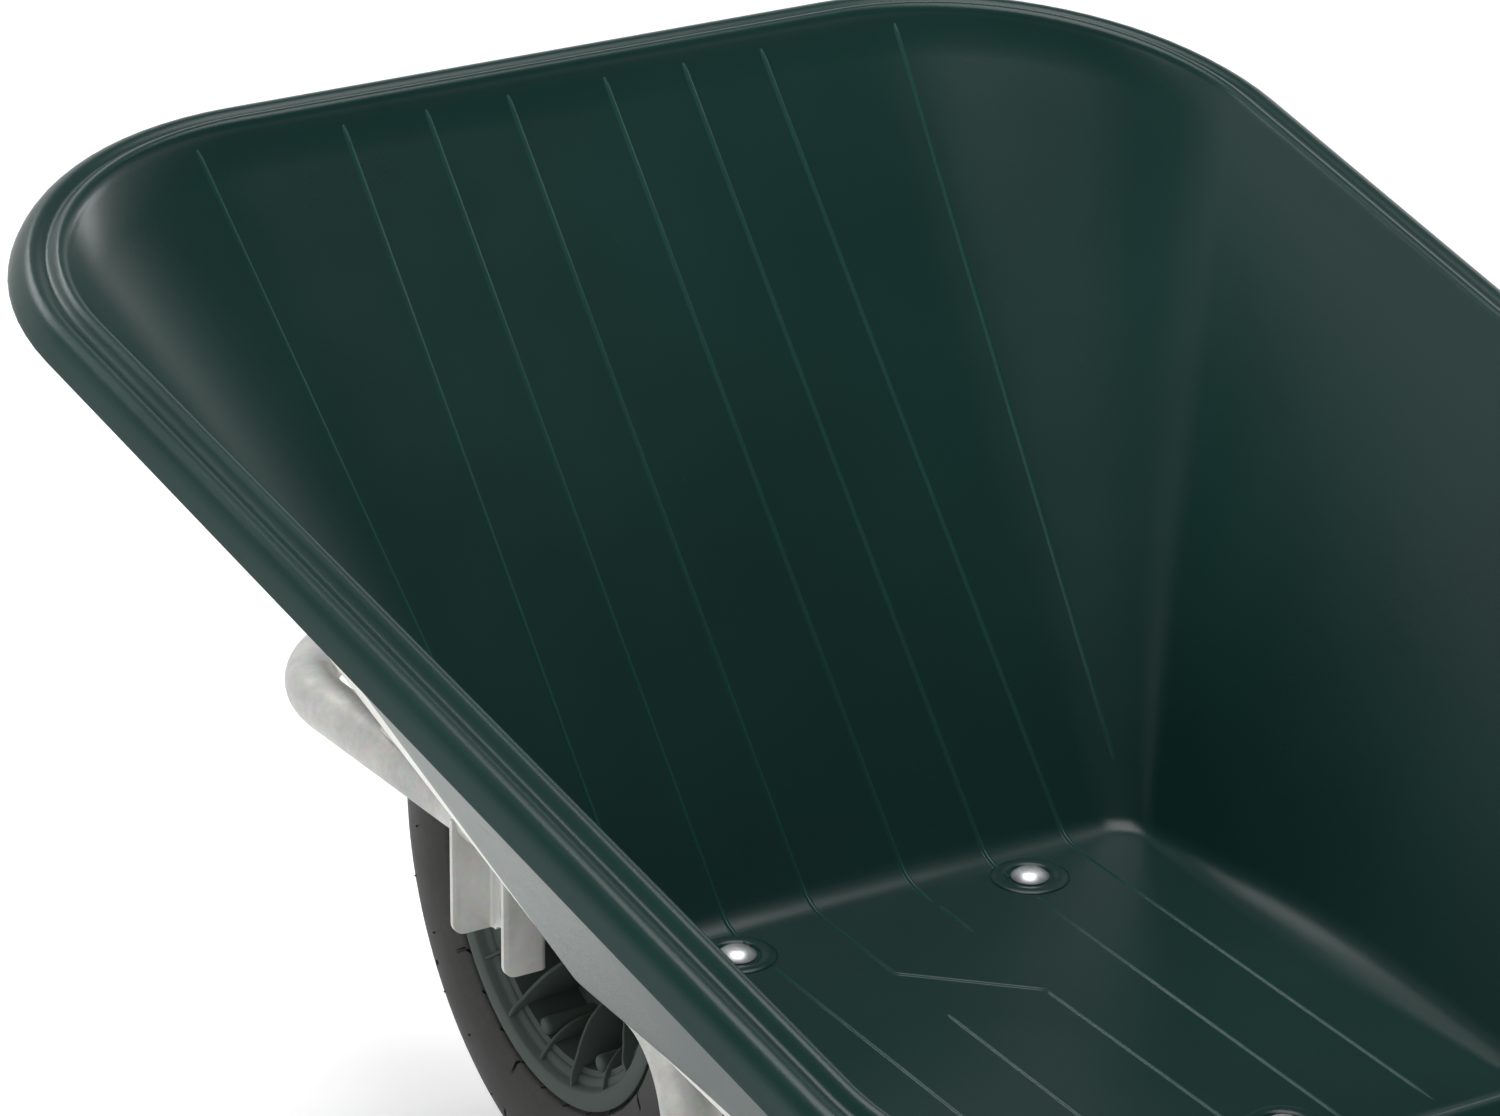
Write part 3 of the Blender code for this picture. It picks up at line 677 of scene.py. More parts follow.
def rib_routes():
    """The moulded lines: down the nose wall, across the fillet and along the floor."""
    top, toe = (0.3500, 0.3510), (0.0500, 0.0300)
    nose = ((top[0], top[1]), (toe[0], toe[1]), (0.024, 0.006), (0.004, 0.0))
    routes = []
    for x, floor_end in ((0.130, -0.300), (0.080, 0.012), (0.030, 0.000)):
        routes.append([(x, y, z) for y, z in nose] + [(x, floor_end, 0.0)])
        routes.append([(-x, y, z) for y, z in nose] + [(-x, floor_end, 0.0)])
    routes[-1] = routes[-1][:-1] + [(-0.030, -0.057, 0), (0.0275, -0.110, 0), (0.030, -0.300, 0)]
    for x, start, end in ((0.080, -0.022, -0.300), (-0.080, -0.022, -0.300)):
        routes.append([(x, start, 0), (x, end, 0)])
    routes.append([(-0.030, -0.108, 0), (-0.030, -0.300, 0)])
    routes.append([(0.030, -0.006, 0), (0.030, -0.040, 0)])
    for sign in (1, -1):
        routes.append([(sign * 0.217, 0.352, 0.349), (sign * 0.176, 0.049, 0.025)])
    return routes


def spaced(route, step):
    """Points along a route, about a step apart."""
    corners = [Vector(point) for point in route]
    points = [corners[0]]
    for a, b in zip(corners, corners[1:]):
        count = max(1, round((b - a).length / step))
        points += [a.lerp(b, k / count) for k in range(1, count + 1)]
    return points


def add_rib(shape, route, surface):
    """A low rounded line laid on the tray's inside, fading out at both ends."""
    tray = settings().tray
    path, normals = [], []
    for point in spaced(route, 0.005):
        spot, normal, _, _ = surface.find_nearest(point)
        path.append(spot)
        normals.append(normal if normal.z > 0 else -normal)
    last = len(path) - 1

    def section(i):
        fade = min(1.0, (i + 0.55) / 1.2, (last - i + 0.2) / 3.0)
        half, top = tray.rib_width / 2 * (0.5 + fade / 2), tray.rib_height * fade
        sink = -0.0006
        waves = [math.pi * k / 4 for k in range(-4, 5)]
        arch = [(half * w / math.pi, top * (1 + math.cos(w)) / 2 - 0.0001) for w in waves]
        return [(-half, sink), *arch, (half, sink)]

    swept(shape, path, section, normals)


def add_boss(shape, x, y):
    """The low dished ring moulded round a tray bolt."""
    section = [(0.0118, -0.0006), (0.0122, 0.0003), (0.0150, 0.0012), (0.0180, 0.0014)]
    section += [(0.0200, 0.0008), (0.0212, 0.0001), (0.0214, -0.0006)]
    add_turned(shape, section, 56, at=(x, y, 0))


class BARROW_OT_tray(bpy.types.Operator):
    """Moulded tray: walls, rolled rim, bosses and moulded lines"""

    bl_idname = "barrow.tray"
    bl_label = "Tray"

    def execute(self, context):
        sheet = bmesh.new()
        rows = skin(sheet, tray_rings())
        sheet.faces.new(rows[0])
        bmesh.ops.recalc_face_normals(sheet, faces=sheet.faces)
        floor = min(sheet.faces, key=lambda face: face.calc_center_median().z)
        if floor.normal.z < 0:
            bmesh.ops.reverse_faces(sheet, faces=sheet.faces)
        surface = BVHTree.FromBMesh(sheet)
        mesh = bpy.data.meshes.new("tray_shell")
        sheet.to_mesh(mesh)
        sheet.free()
        tray = bpy.data.objects.new("tray_shell", mesh)
        context.scene.collection.objects.link(tray)
        shell = tray.modifiers.new("Wall", "SOLIDIFY")
        shell.thickness = settings().tray.wall
        shell.offset = -1.0
        shell.use_even_offset = True
        apply_modifiers(tray)
        tray.data.shade_smooth()
        tray.data.set_sharp_from_angle(angle=math.radians(50))
        settle(tray, "tray_plastic", FRAME_BODY, "tray")
        lines = bmesh.new()
        for route in rib_routes():
            add_rib(lines, route, surface)
        # The moulded lines take the lighter plastic: partly wear, partly painted highlight along their
        # crests.
        settle(mesh_object("tray_lines", lines, 60), "worn_and_highlit_tray_plastic", FRAME_BODY)
        bosses = bmesh.new()
        for where in ("front", "rear"):
            for side, _ in SIDES:
                place = middle(f"tray_bolt_{where}_{side}") - DATUM
                add_boss(bosses, place.x, place.y)
        settle(mesh_object("tray_bosses", bosses, 60), "tray_plastic", FRAME_BODY)
        return {"FINISHED"}


# ---------------------------------------------------------------- frame


class BARROW_OT_main_tubes(bpy.types.Operator):
    """The two long tubes under the tray, from the nose to the handles"""

    bl_idname = "barrow.main_tubes"
    bl_label = "Main tubes"

    def execute(self, context):
        sizes = settings().frame
        path = bent_path(MAIN_CORNERS, MAIN_BENDS)
        for side, sign in SIDES:
            shape = bmesh.new()
            add_tube(shape, path if sign > 0 else mirrored(path), sizes.tube, sizes.tube_wall)
            piece = mesh_object(f"main_tube_{side}_look", shape)
            # The main tubes take the zinc painted lighter, as painted light.
            settle(piece, "tube_galvanised_painted_light", FRAME_BODY, f"main_tube_{side}")
        return {"FINISHED"}


def lower_path():
    """Left leg, skid, arm, round the nose, and the same again down the right side."""
    right = [Vector(corner) for corner in LOWER_CORNERS]
    corners = mirrored(right) + right[::-1]
    return bent_path(corners, LOWER_BENDS + LOWER_BENDS[::-1])


class BARROW_OT_lower_frame(bpy.types.Operator):
    """One bent tube: both skid legs and the hoop round the wheel"""

    bl_idname = "barrow.lower_frame"
    bl_label = "Lower frame"

    def execute(self, context):
        sizes = settings().frame
        path = lower_path()
        along = directions(path)
        shape = bmesh.new()
        normals = [Vector((0, 0, 1))]
        for direction in along:
            previous = normals[-1]
            normals.append((previous - direction * previous.dot(direction)).normalized())
        outer = swept(shape, path, disc(sizes.tube, 40), normals[1:], caps=False)
        inner = swept(shape, path, disc(sizes.tube - sizes.tube_wall, 24), normals[1:], caps=False)
        for end in (0, -1):
            shape.faces.new(outer[end])
            shape.faces.new(inner[end])
        piece = mesh_object("lower_frame_tube", shape)
        settle(piece, "galvanised_steel", FRAME_BODY, "front_hoop", "skid_leg_left", "skid_leg_right")
        return {"FINISHED"}


class BARROW_OT_cross_bar(bpy.types.Operator):
    """Thin tube that ties the legs together"""

    bl_idname = "barrow.cross_bar"
    bl_label = "Leg cross bar"

    def execute(self, context):
        low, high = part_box("leg_cross_bar")
        centre = middle("leg_cross_bar") - DATUM
        reach = Vector(((high.x - low.x) / 2 + 0.003, 0, 0))
        shape = bmesh.new()
        add_tube(shape, [centre - reach, centre + reach], CROSS_BAR_R, CROSS_BAR_WALL, sides=32)
        piece = mesh_object("leg_cross_bar_look", shape)
        settle(piece, "galvanised_steel", FRAME_BODY, "leg_cross_bar")
        return {"FINISHED"}


class BARROW_OT_straps(bpy.types.Operator):
    """Flat bars under the tray that take its bolts"""

    bl_idname = "barrow.straps"
    bl_label = "Tray straps"

    def execute(self, context):
        for where in ("front", "rear"):
            node = f"{where}_tray_strap"
            low, high = (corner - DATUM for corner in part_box(node))
            shape = bmesh.new()
            outline_points = [(low.x, low.y), (high.x, low.y), (high.x, high.y), (low.x, high.y)]
            add_plate(shape, outline_points, low.z, high.z, lambda p, h: Vector((p[0], p[1], h)))
            strap = mesh_object(f"{node}_look", shape)
            pins = []
            for side, _ in SIDES:
                bolt = middle(f"tray_bolt_{where}_{side}") - DATUM
                place = Matrix.Translation((bolt.x, bolt.y, low.z))
                pins.append(mesh_object("strap_pin", pin(0.0045, 0.03, 32, place)))
            cut(strap, pins)
            bevelled(strap, 0.0008)
            settle(strap, "galvanised_steel", FRAME_BODY, node)
        return {"FINISHED"}


class BARROW_OT_brackets(bpy.types.Operator):
    """Folded channels that carry the axle under the hoop"""

    bl_idname = "barrow.brackets"
    bl_label = "Axle brackets"

    def execute(self, context):
        plate = settings().frame.plate
        for side, sign in SIDES:
            node = f"axle_bracket_{side}"
            low, high = (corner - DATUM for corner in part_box(node))
            inner, outer = sorted((abs(low.x), abs(high.x)))
            section = [(inner, low.y), (inner, high.y), (outer, high.y), (outer, high.y - plate)]
            section += [(inner + plate, high.y - plate), (inner + plate, low.y + plate)]
            section += [(outer, low.y + plate), (outer, low.y)]
            radii = (FOLD_OUTSIDE, FOLD_OUTSIDE, 0.0, 0.0, FOLD_INSIDE, FOLD_INSIDE, 0.0, 0.0)
            folded = []
            for i, (point, radius) in enumerate(zip(section, radii)):
                if not radius:
                    folded.append(Vector(point))
                    continue
                before, after = section[i - 1], section[(i + 1) % len(section)]
                folded += round_corner(Vector(before), Vector(point), Vector(after), radius, 6)
            shape = bmesh.new()
            add_plate(shape, folded, low.z, LOWER_Z, lambda p, h: Vector((sign * p[0], p[1], h)))
            bracket = mesh_object(f"{node}_look", shape)
            cutters = [self.tube_bed(), self.bore(sign * inner), self.arch(sign, inner, low, high)]
            cutters.append(self.corner_cut(sign, outer, low, high))
            cut(bracket, cutters)
            bevelled(bracket, 0.0005)
            # The brackets take the zinc painted slightly lighter, as painted light.
            settle(bracket, "bracket_galvanised_painted_light", FRAME_BODY, node)
        return {"FINISHED"}

    def tube_bed(self):
        shape = bmesh.new()
        arms = [Vector(corner) for corner in LOWER_CORNERS[4:]]
        corners = mirrored(arms) + arms[::-1]
        path = bent_path(corners, HOOP_BENDS + HOOP_BENDS[::-1])
        swept(shape, path, disc(settings().frame.tube - 0.0002, 40), [Vector((0, 0, 1))] * len(path))
        return mesh_object("tube_bed", shape)

    def bore(self, x):
        along_x = Matrix.Rotation(math.pi / 2, 4, "Y")
        place = Matrix.Translation((x, AXLE.y - DATUM.y, AXLE.z - DATUM.z)) @ along_x
        return mesh_object("axle_bore", pin(0.0085, 0.02, 40, place))

    def arch(self, sign, inner, low, high):
        """The shallow relief along the bottom of the web."""
        centre, half, rise = (low.y + high.y) / 2, (high.y - low.y) / 2 - 0.007, 0.006
        angles = [math.pi * k / 12 for k in range(13)]
        points = [(centre + half * math.cos(a), low.z + rise * math.sin(a)) for a in angles]
        outline_points = points + [(centre - half, low.z - 0.004), (centre + half, low.z - 0.004)]
        shape = bmesh.new()
        add_plate(shape, outline_points, -0.002, 0.0045, lambda p, h: Vector((sign * (inner + h), *p)))
        return mesh_object("web_arch", shape)

    def corner_cut(self, sign, outer, low, high):
        """What is outside the rounded lower corner of both flanges."""
        corner, past = Vector((outer, low.z)), 0.003
        arc = round_corner(corner - Vector((1, 0)), corner, corner + Vector((0, 1)), 0.008, 8)
        outline_points = arc + [Vector((outer + past, arc[-1].y)), Vector((outer + past, low.z - past))]
        outline_points.append(Vector((arc[0].x, low.z - past)))
        shape = bmesh.new()
        reach = (low.y - past, high.y + past)
        add_plate(shape, outline_points, *reach, lambda p, h: Vector((sign * p[0], h, p[1])))
        return mesh_object("flange_corner", shape)


def add_weld(shape, points, up, radius, closed=False):
    """A weld bead along some points, with the ripples that a torch leaves."""
    path = spaced_evenly(points, radius * 0.45, closed)
    normals = [Vector(up)] * len(path) if not callable(up) else [up(p) for p in path]

    def section(i):
        swell = radius * (0.90 + 0.12 * math.sin(i * 2.1) + 0.05 * math.sin(i * 0.53))
        return disc(swell, 10)

    swept(shape, path, section, normals, closed=closed)


def spaced_evenly(points, step, closed=False):
    """The same line with its points a step apart."""
    points = points + points[:1] if closed else points
    path = []
    for a, b in zip(points, points[1:]):
        count = max(1, round((b - a).length / step))
        path += [a.lerp(b, k / count) for k in range(count)]
    return path if closed else path + [points[-1]]


def saddle(point, axis, radius, main_point, main_axis, main_radius):
    """Where a round branch meets the surface of a round main tube: a closed loop of points."""
    axis, main_axis = axis.normalized(), main_axis.normalized()
    first = axis.orthogonal().normalized()
    second = axis.cross(first)
    loop = []
    for k in range(48):
        angle = 2 * math.pi * k / 48
        start = point + (first * math.cos(angle) + second * math.sin(angle)) * radius
        offset = start - main_point
        across = offset - main_axis * offset.dot(main_axis)
        slope = axis - main_axis * axis.dot(main_axis)
        a, b = slope.length_squared, 2 * across.dot(slope)
        c = across.length_squared - main_radius**2
        root = math.sqrt(max(b * b - 4 * a * c, 0.0))
        loop.append(start + axis * ((-b - root) / (2 * a)))
    return loop


class BARROW_OT_welds(bpy.types.Operator):
    """Weld beads where the frame's pieces meet"""

    bl_idname = "barrow.welds"
    bl_label = "Welds"

    def execute(self, context):
        sizes = settings().frame
        main = [Vector(corner) for corner in MAIN_CORNERS]
        lower = [Vector(corner) for corner in LOWER_CORNERS]
        shape = bmesh.new()
        loop = saddle(lower[1], lower[0] - lower[1], sizes.tube, main[2], main[3] - main[2], sizes.tube)
        seams = [(loop, True)]
        touch = (MAIN_Z + LOWER_Z) / 2
        for shift in (0.0078, -0.0078):
            seams.append((self.tube_line(0.374, 0.398, shift, touch), False))
        for where in ("front", "rear"):
            low, high = (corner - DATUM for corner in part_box(f"{where}_tray_strap"))
            edge, z = high.x + 0.0005, low.z - 0.0002
            seams.append(([Vector((edge, low.y + 0.003, z)), Vector((edge, high.y - 0.003, z))], False))
        low, high = (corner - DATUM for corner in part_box("axle_bracket_right"))
        web, z = low.x + 0.0022, LOWER_Z + 0.001
        seams.append(([Vector((web, low.y + 0.006, z)), Vector((web, high.y - 0.006, z))], False))
        bar_low, bar_high = (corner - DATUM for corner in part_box("leg_cross_bar"))
        centre = (bar_low + bar_high) / 2
        ring = [centre + Vector((bar_high.x + 0.0012, y, z)) for y, z in disc(0.0112, 30)]
        seams.append((ring, True))
        for points, closed in seams:
            for line in (points, mirrored(points)):
                add_weld(shape, line, (0.31, 0.17, 0.93), sizes.weld, closed)
        piece = mesh_object("weld_beads", shape, 60)
        settle(piece, "galvanised_steel", FRAME_BODY)
        return {"FINISHED"}

    def tube_line(self, start, end, shift, z):
        """A seam in the valley between the main tube and the tube under it."""
        main = [Vector(corner) for corner in MAIN_CORNERS[:2]]
        lower = [Vector(corner) for corner in LOWER_CORNERS[5:]]
        points = []
        for y in (start, end):
            xs = [a.lerp(b, (y - a.y) / (b.y - a.y)).x for a, b in (main, lower)]
            points.append(Vector((sum(xs) / 2 + shift, y, z)))
        return points


# ---------------------------------------------------------------- wheel


class BARROW_OT_axle(bpy.types.Operator):
    """Through axle with its spacers and push-on caps"""

    bl_idname = "barrow.axle"
    bl_label = "Axle"

    def execute(self, context):
        half = (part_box("axle")[1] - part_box("axle")[0]).x / 2
        chamfer = 0.0012
        rod = [(0.0, -half), (AXLE_R - chamfer, -half), (AXLE_R, chamfer - half)]
        rod += [(AXLE_R, half - chamfer), (AXLE_R - chamfer, half), (0.0, half)]
        shape = bmesh.new()
        add_turned(shape, rod, 48, "X")
        settle(mesh_object("axle_look", shape), "zinc_plate", FRAME_BODY, "axle", origin=AXLE)
        for side, sign in SIDES:
            node = f"axle_spacer_{side}"
            low, high = (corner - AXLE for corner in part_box(node))
            section = [(AXLE_HOLE_R, low.x), (SPACER_R, low.x), (SPACER_R, high.x), (AXLE_HOLE_R, high.x)]
            shape = bmesh.new()
            add_turned(shape, soften(section, 0.0006), 48, "X")
            settle(mesh_object(f"{node}_look", shape), "zinc_plate", FRAME_BODY, node, origin=AXLE)
            node = f"axle_cap_{side}"
            low, high = (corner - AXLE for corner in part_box(node))
            base, tip = sorted((abs(low.x), abs(high.x)))
            shape = bmesh.new()
            add_cap(shape, sign, base, tip)
            settle(mesh_object(f"{node}_look", shape), "zinc_plate", FRAME_BODY, node, origin=AXLE)
        return {"FINISHED"}


def add_cap(shape, sign, base, tip):
    """A pressed push-on cap: a low dome, and a rim with shallow teeth."""
    section = [(0.0, tip), (0.0050, tip - 0.0001), (0.0080, tip - 0.0005), (0.0096, tip - 0.0015)]
    section += [(0.0105, base + 0.0013), (0.0123, base + 0.0011), (0.0125, base + 0.0002), (0.0124, base)]
    section += [(0.0084, base), (0.0083, base + 0.0028), (0.0, base + 0.0028)]
    for vert in add_turned(shape, [(r, sign * x) for r, x in section], 96, "X"):
        angle = math.atan2(vert.co.z, vert.co.y)
        rim = math.hypot(vert.co.z, vert.co.y) > 0.0115
        if rim and abs(vert.co.x) > base + 0.0009 and math.sin(18 * angle) > 0:
            vert.co.x -= sign * 0.0006


def add_nut(shape, across_flats, bore, low, high, at, sides=72):
    """A hexagon nut with chamfered faces and a chamfered bore."""
    chamfer_r = across_flats / 2 * 1.01
    angles = [2 * math.pi * k / sides for k in range(sides)]
    flats = [across_flats / 2 / math.cos((a + math.pi / 6) % (math.pi / 3) - math.pi / 6) for a in angles]
    drops = [max(0.0, flat - chamfer_r) * 0.6 for flat in flats]

    def ring(radii, heights):
        return [Vector((r * math.cos(a), r * math.sin(a), h)) for a, r, h in zip(angles, radii, heights)]

    def circle(radius, height):
        return ring([radius] * sides, [height] * sides)

    rings = [circle(bore, low + 0.001), circle(bore + 0.001, low)]
    rings.append(ring([min(flat, chamfer_r) for flat in flats], [low] * sides))
    rings.append(ring(flats, [low + drop + 0.0002 for drop in drops]))
    rings.append(ring(flats, [high - drop - 0.0002 for drop in drops]))
    rings.append(ring([min(flat, chamfer_r) for flat in flats], [high] * sides))
    rings += [circle(bore + 0.001, high), circle(bore, high - 0.001)]
    rows = skin(shape, rings, close_rows=True)
    bmesh.ops.translate(shape, verts=[vert for row in rows for vert in row], vec=at)


class BARROW_OT_bushes(bpy.types.Operator):
    """Flanged bearing bushes in the ends of the hub"""

    bl_idname = "barrow.bushes"
    bl_label = "Hub bushes"

    def execute(self, context):
        for side, sign in SIDES:
            node = f"hub_bush_{side}"
            low, high = (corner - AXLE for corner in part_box(node))
            start, flange = sorted((abs(low.x), abs(high.x)))
            seat = flange - BUSH_FLANGE
            section = [(AXLE_HOLE_R, start), (BUSH_R, start), (BUSH_R, seat)]
            section += [(BUSH_FLANGE_R, seat), (BUSH_FLANGE_R, flange), (AXLE_HOLE_R, flange)]
            shape = bmesh.new()
            add_turned(shape, [(r, sign * x) for r, x in soften(section, 0.0005)], 48, "X")
            settle(mesh_object(f"{node}_look", shape), "black_plastic", WHEEL_BODY, node, origin=AXLE)
        return {"FINISHED"}


def rim_section():
    """Closed section of the wheel centre: hub, web, barrel and both flanges, as (radius, x)."""
    rim = settings().wheel.rim_radius
    half = [(0.0960, 0.0030), (0.0965, 0.0200), (0.0985, 0.0360), (0.1055, 0.0395), (0.1075, 0.0420)]
    half += [(0.1085, 0.0452), (0.1100, 0.0460), (0.1150, 0.0458), (rim - 0.0010, 0.0462), (rim, 0.0454)]
    half += [(rim, 0.0430), (rim - 0.0020, 0.0418), (0.1060, 0.0405), (0.1030, 0.0395), (0.1015, 0.0375)]
    half += [(0.1010, 0.0250), (0.0995, 0.0150)]
    hub = [(0.0235, 0.0030), (0.0225, 0.0440), (0.0215, 0.0478), (0.0135, 0.0480), (0.0128, 0.0472)]
    mirror = [(radius, -x) for radius, x in reversed(half)]
    hub_mirror = [(radius, -x) for radius, x in hub]
    return half + mirror + hub_mirror + hub[::-1]


# Outer edge of a long rib and of a short gusset, as (radius, depth from the wheel's middle)
LONG_EDGE = (
    (0.0235, 0.0425),
    (0.0300, 0.0350),
    (0.0370, 0.0245),
    (0.0450, 0.0165),
    (0.0540, 0.0140),
    (0.0620, 0.0165),
    (0.0680, 0.0240),
    (0.0740, 0.0300),
    (0.0840, 0.0360),
    (0.0930, 0.0400),
    (0.1010, 0.0440),
    (0.1085, 0.0450),
)
SHORT_EDGE = (
    (0.0845, 0.0020),
    (0.0855, 0.0150),
    (0.0875, 0.0250),
    (0.0920, 0.0325),
    (0.0985, 0.0390),
    (0.1080, 0.0445),
)
FIRST_RIB = math.radians(-61.5)


class BARROW_OT_wheel_centre(bpy.types.Operator):
    """Moulded wheel centre with deep pockets, long ribs and short gussets"""

    bl_idname = "barrow.wheel_centre"
    bl_label = "Wheel centre"

    def execute(self, context):
        ribs = settings().wheel.ribs
        shape = bmesh.new()
        add_turned(shape, rim_section(), 144, "X")
        for k in range(ribs):
            angle = FIRST_RIB - 2 * math.pi * k / ribs
            for side in (1, -1):
                self.add_blade(shape, LONG_EDGE, angle, side, 0.0030)
                self.add_blade(shape, SHORT_EDGE, angle + math.pi / ribs, side, 0.0028)
                self.add_post(shape, angle - math.radians(14), side)
        piece = mesh_object("wheel_centre_look", shape, 50)
        settle(piece, "wheel_plastic", WHEEL_BODY, "wheel_centre", origin=AXLE)
        return {"FINISHED"}

    def add_blade(self, shape, edge, angle, side, thickness):
        """An upright plate on the web, its free edge following the given curve."""
        outwards = Vector((0, math.cos(angle), math.sin(angle)))
        across = Vector((0, -math.sin(angle), math.cos(angle)))
        rings = []
        for radius, depth in smoothed(edge):
            widths = [(0.0, 0.62), (depth - 0.0010, 0.42), (depth - 0.0003, 0.30), (depth, 0.12)]
            heights = [(max(d, 0.0), w * thickness) for d, w in widths]
            ring = [outwards * radius + Vector((side * d, 0, 0)) + across * w for d, w in heights]
            ring += [outwards * radius + Vector((side * d, 0, 0)) - across * w for d, w in reversed(heights)]
            rings.append(ring)
        rows = skin(shape, rings)
        shape.faces.new(rows[0])
        shape.faces.new(rows[-1])

    def add_post(self, shape, angle, side):
        """A round ejector post against the inside of the barrel."""
        outwards = Vector((0, math.cos(angle), math.sin(angle)))
        base = outwards * 0.0945
        path = [base + Vector((side * x, 0, 0)) for x in (0.0, 0.034, 0.0365, 0.0375)]
        radii = (0.0062, 0.0056, 0.0050, 0.0030)
        swept(shape, path, lambda i: disc(radii[i], 20), [outwards] * 4)


def smoothed(points, steps=4):
    """A Catmull-Rom curve through the points."""
    points = [Vector(point) for point in points]
    ends = [points[0]] + points + [points[-1]]
    curve = []
    for a, b, c, d in zip(ends, ends[1:], ends[2:], ends[3:]):
        for step in range(steps):
            t = step / steps
            bend = (2 * a - 5 * b + 4 * c - d) * t * t + (3 * b - a - 3 * c + d) * t**3
            curve.append((2 * b + (c - a) * t + bend) / 2)
    return curve + [points[-1]]


# Outside of the tyre's casing from the middle of its tread to its bead, as (radius, x)
TYRE_OUTSIDE = (
    (0.2000, 0.0000),
    (0.1996, 0.0080),
    (0.1984, 0.0150),
    (0.1962, 0.0230),
    (0.1925, 0.0305),
    (0.1870, 0.0370),
    (0.1790, 0.0430),
    (0.1690, 0.0472),
    (0.1580, 0.0494),
    (0.1470, 0.0500),
    (0.1370, 0.0492),
    (0.1290, 0.0478),
    (0.1235, 0.0462),
    (0.1205, 0.0430),
    (0.1120, 0.0402),
    (0.1035, 0.0388),
)
TYRE_INSIDE = (
    (0.1022, 0.0350),
    (0.1060, 0.0310),
    (0.1200, 0.0345),
    (0.1500, 0.0440),
    (0.1800, 0.0360),
    (0.1915, 0.0),
)
GROOVES = (0.0095, 0.0235)
GROOVE_HALF = 0.0019
GROOVE_DEPTH = 0.0038


def tyre_profile():
    """The whole outside of the tyre, finely stepped, from one bead to the other."""
    half = smoothed(TYRE_OUTSIDE, 10)
    return [Vector((r, -x)) for r, x in reversed(half[1:])] + half


def tread_depth(x, slot):
    """How far the surface is cut back at this distance from the middle; slot is a slit's outer end."""
    groove = 0.0
    for centre in GROOVES:
        gap = abs(abs(x) - centre)
        groove = max(groove, GROOVE_DEPTH * max(0.0, min(1.0, (GROOVE_HALF - gap) / 0.0007)))
    if not slot:
        return groove
    shoulder = ramp(abs(x), 0.0270, 0.0290) * ramp(slot - abs(x), 0.0, 0.0012)
    centre_sipe = ramp(0.0072 - abs(x), 0.0, 0.001) * ramp(abs(x), 0.001, 0.002)
    return max(groove, 0.0030 * shoulder, 0.0018 * centre_sipe)


def ramp(value, low, high):
    """0 below the low value, 1 above the high one."""
    return max(0.0, min(1.0, (value - low) / (high - low)))


class BARROW_OT_tyre(bpy.types.Operator):
    """Pneumatic tyre with a ribbed tread, shoulder slits and moulding pips"""

    bl_idname = "barrow.tyre"
    bl_label = "Tyre"

    def execute(self, context):
        pitches = settings().wheel.tread_pitches
        profile = tyre_profile()
        normals = self.section_normals(profile)
        pitch = 2 * math.pi / pitches
        edge = 0.0013 / settings().wheel.tyre_radius
        stations = []
        for k in range(pitches):
            base = k * pitch
            end = 0.0488 if k % 3 == 0 else 0.0462
            for offset, slot in ((-edge * 1.5, 0), (-edge * 0.7, end), (edge * 0.7, end), (edge * 1.5, 0)):
                stations.append((base + offset, slot))
            stations += [(base + pitch * share, 0) for share in (0.25, 0.5, 0.75)]
        shape = bmesh.new()
        rings = []
        for angle, slot in stations:
            ring = []
            for (radius, x), normal in zip(profile, normals):
                slant = 0.055 * math.copysign(1, x) * (abs(x) - 0.030) / 0.015 if abs(x) > 0.02 else 0.0
                slant += 0.05 * x / 0.007 if abs(x) < 0.008 else 0.0
                depth = tread_depth(x, slot)
                r, h = radius - normal.x * depth, x - normal.y * depth
                turn = angle + slant * self.ease(x)
                ring.append(Vector((h, r * math.cos(turn), r * math.sin(turn))))
            ring += [Vector((x, r * math.cos(angle), r * math.sin(angle))) for r, x in self.lining()]
            rings.append(ring)
        skin(shape, rings, close_rows=True)
        self.add_pips(shape, pitches)
        piece = mesh_object("tyre_look", shape, 32)
        settle(piece, "tyre_rubber", WHEEL_BODY, "tyre", origin=AXLE)
        return {"FINISHED"}

    def ease(self, x):
        """Fades the slant of the slits out before the sidewall."""
        return max(0.0, min(1.0, (0.0470 - abs(x)) / 0.004))

    def lining(self):
        """The inside of the casing, from the right bead back to the left one."""
        half = list(TYRE_INSIDE)
        return half + [(r, -x) for r, x in reversed(half[:-1])]

    def section_normals(self, profile):
        """Outward normals of the profile, as (radius, x)."""
        found = []
        for along in directions([Vector((r, x, 0)) for r, x in profile]):
            found.append(Vector((along.y, -along.x)))
        return found

    def add_pips(self, shape, pitches):
        """The short rubber pips that the mould's vents leave on the sidewalls."""
        for side in (1, -1):
            for k in range(pitches // 2):
                for radius, x, shift in ((0.1690, 0.0472, 0.25), (0.1545, 0.0498, 0.75)):
                    angle = 2 * math.pi * (k + shift) / (pitches // 2)
                    outwards = Vector((0, math.cos(angle), math.sin(angle)))
                    base = outwards * radius + Vector((side * (x - 0.0004), 0, 0))
                    path = [base, base + Vector((side * 0.0012, 0, 0)), base + Vector((side * 0.0015, 0, 0))]
                    swept(shape, path, lambda i: disc((0.0007, 0.0006, 0.0003)[i], 8), [outwards] * 3)


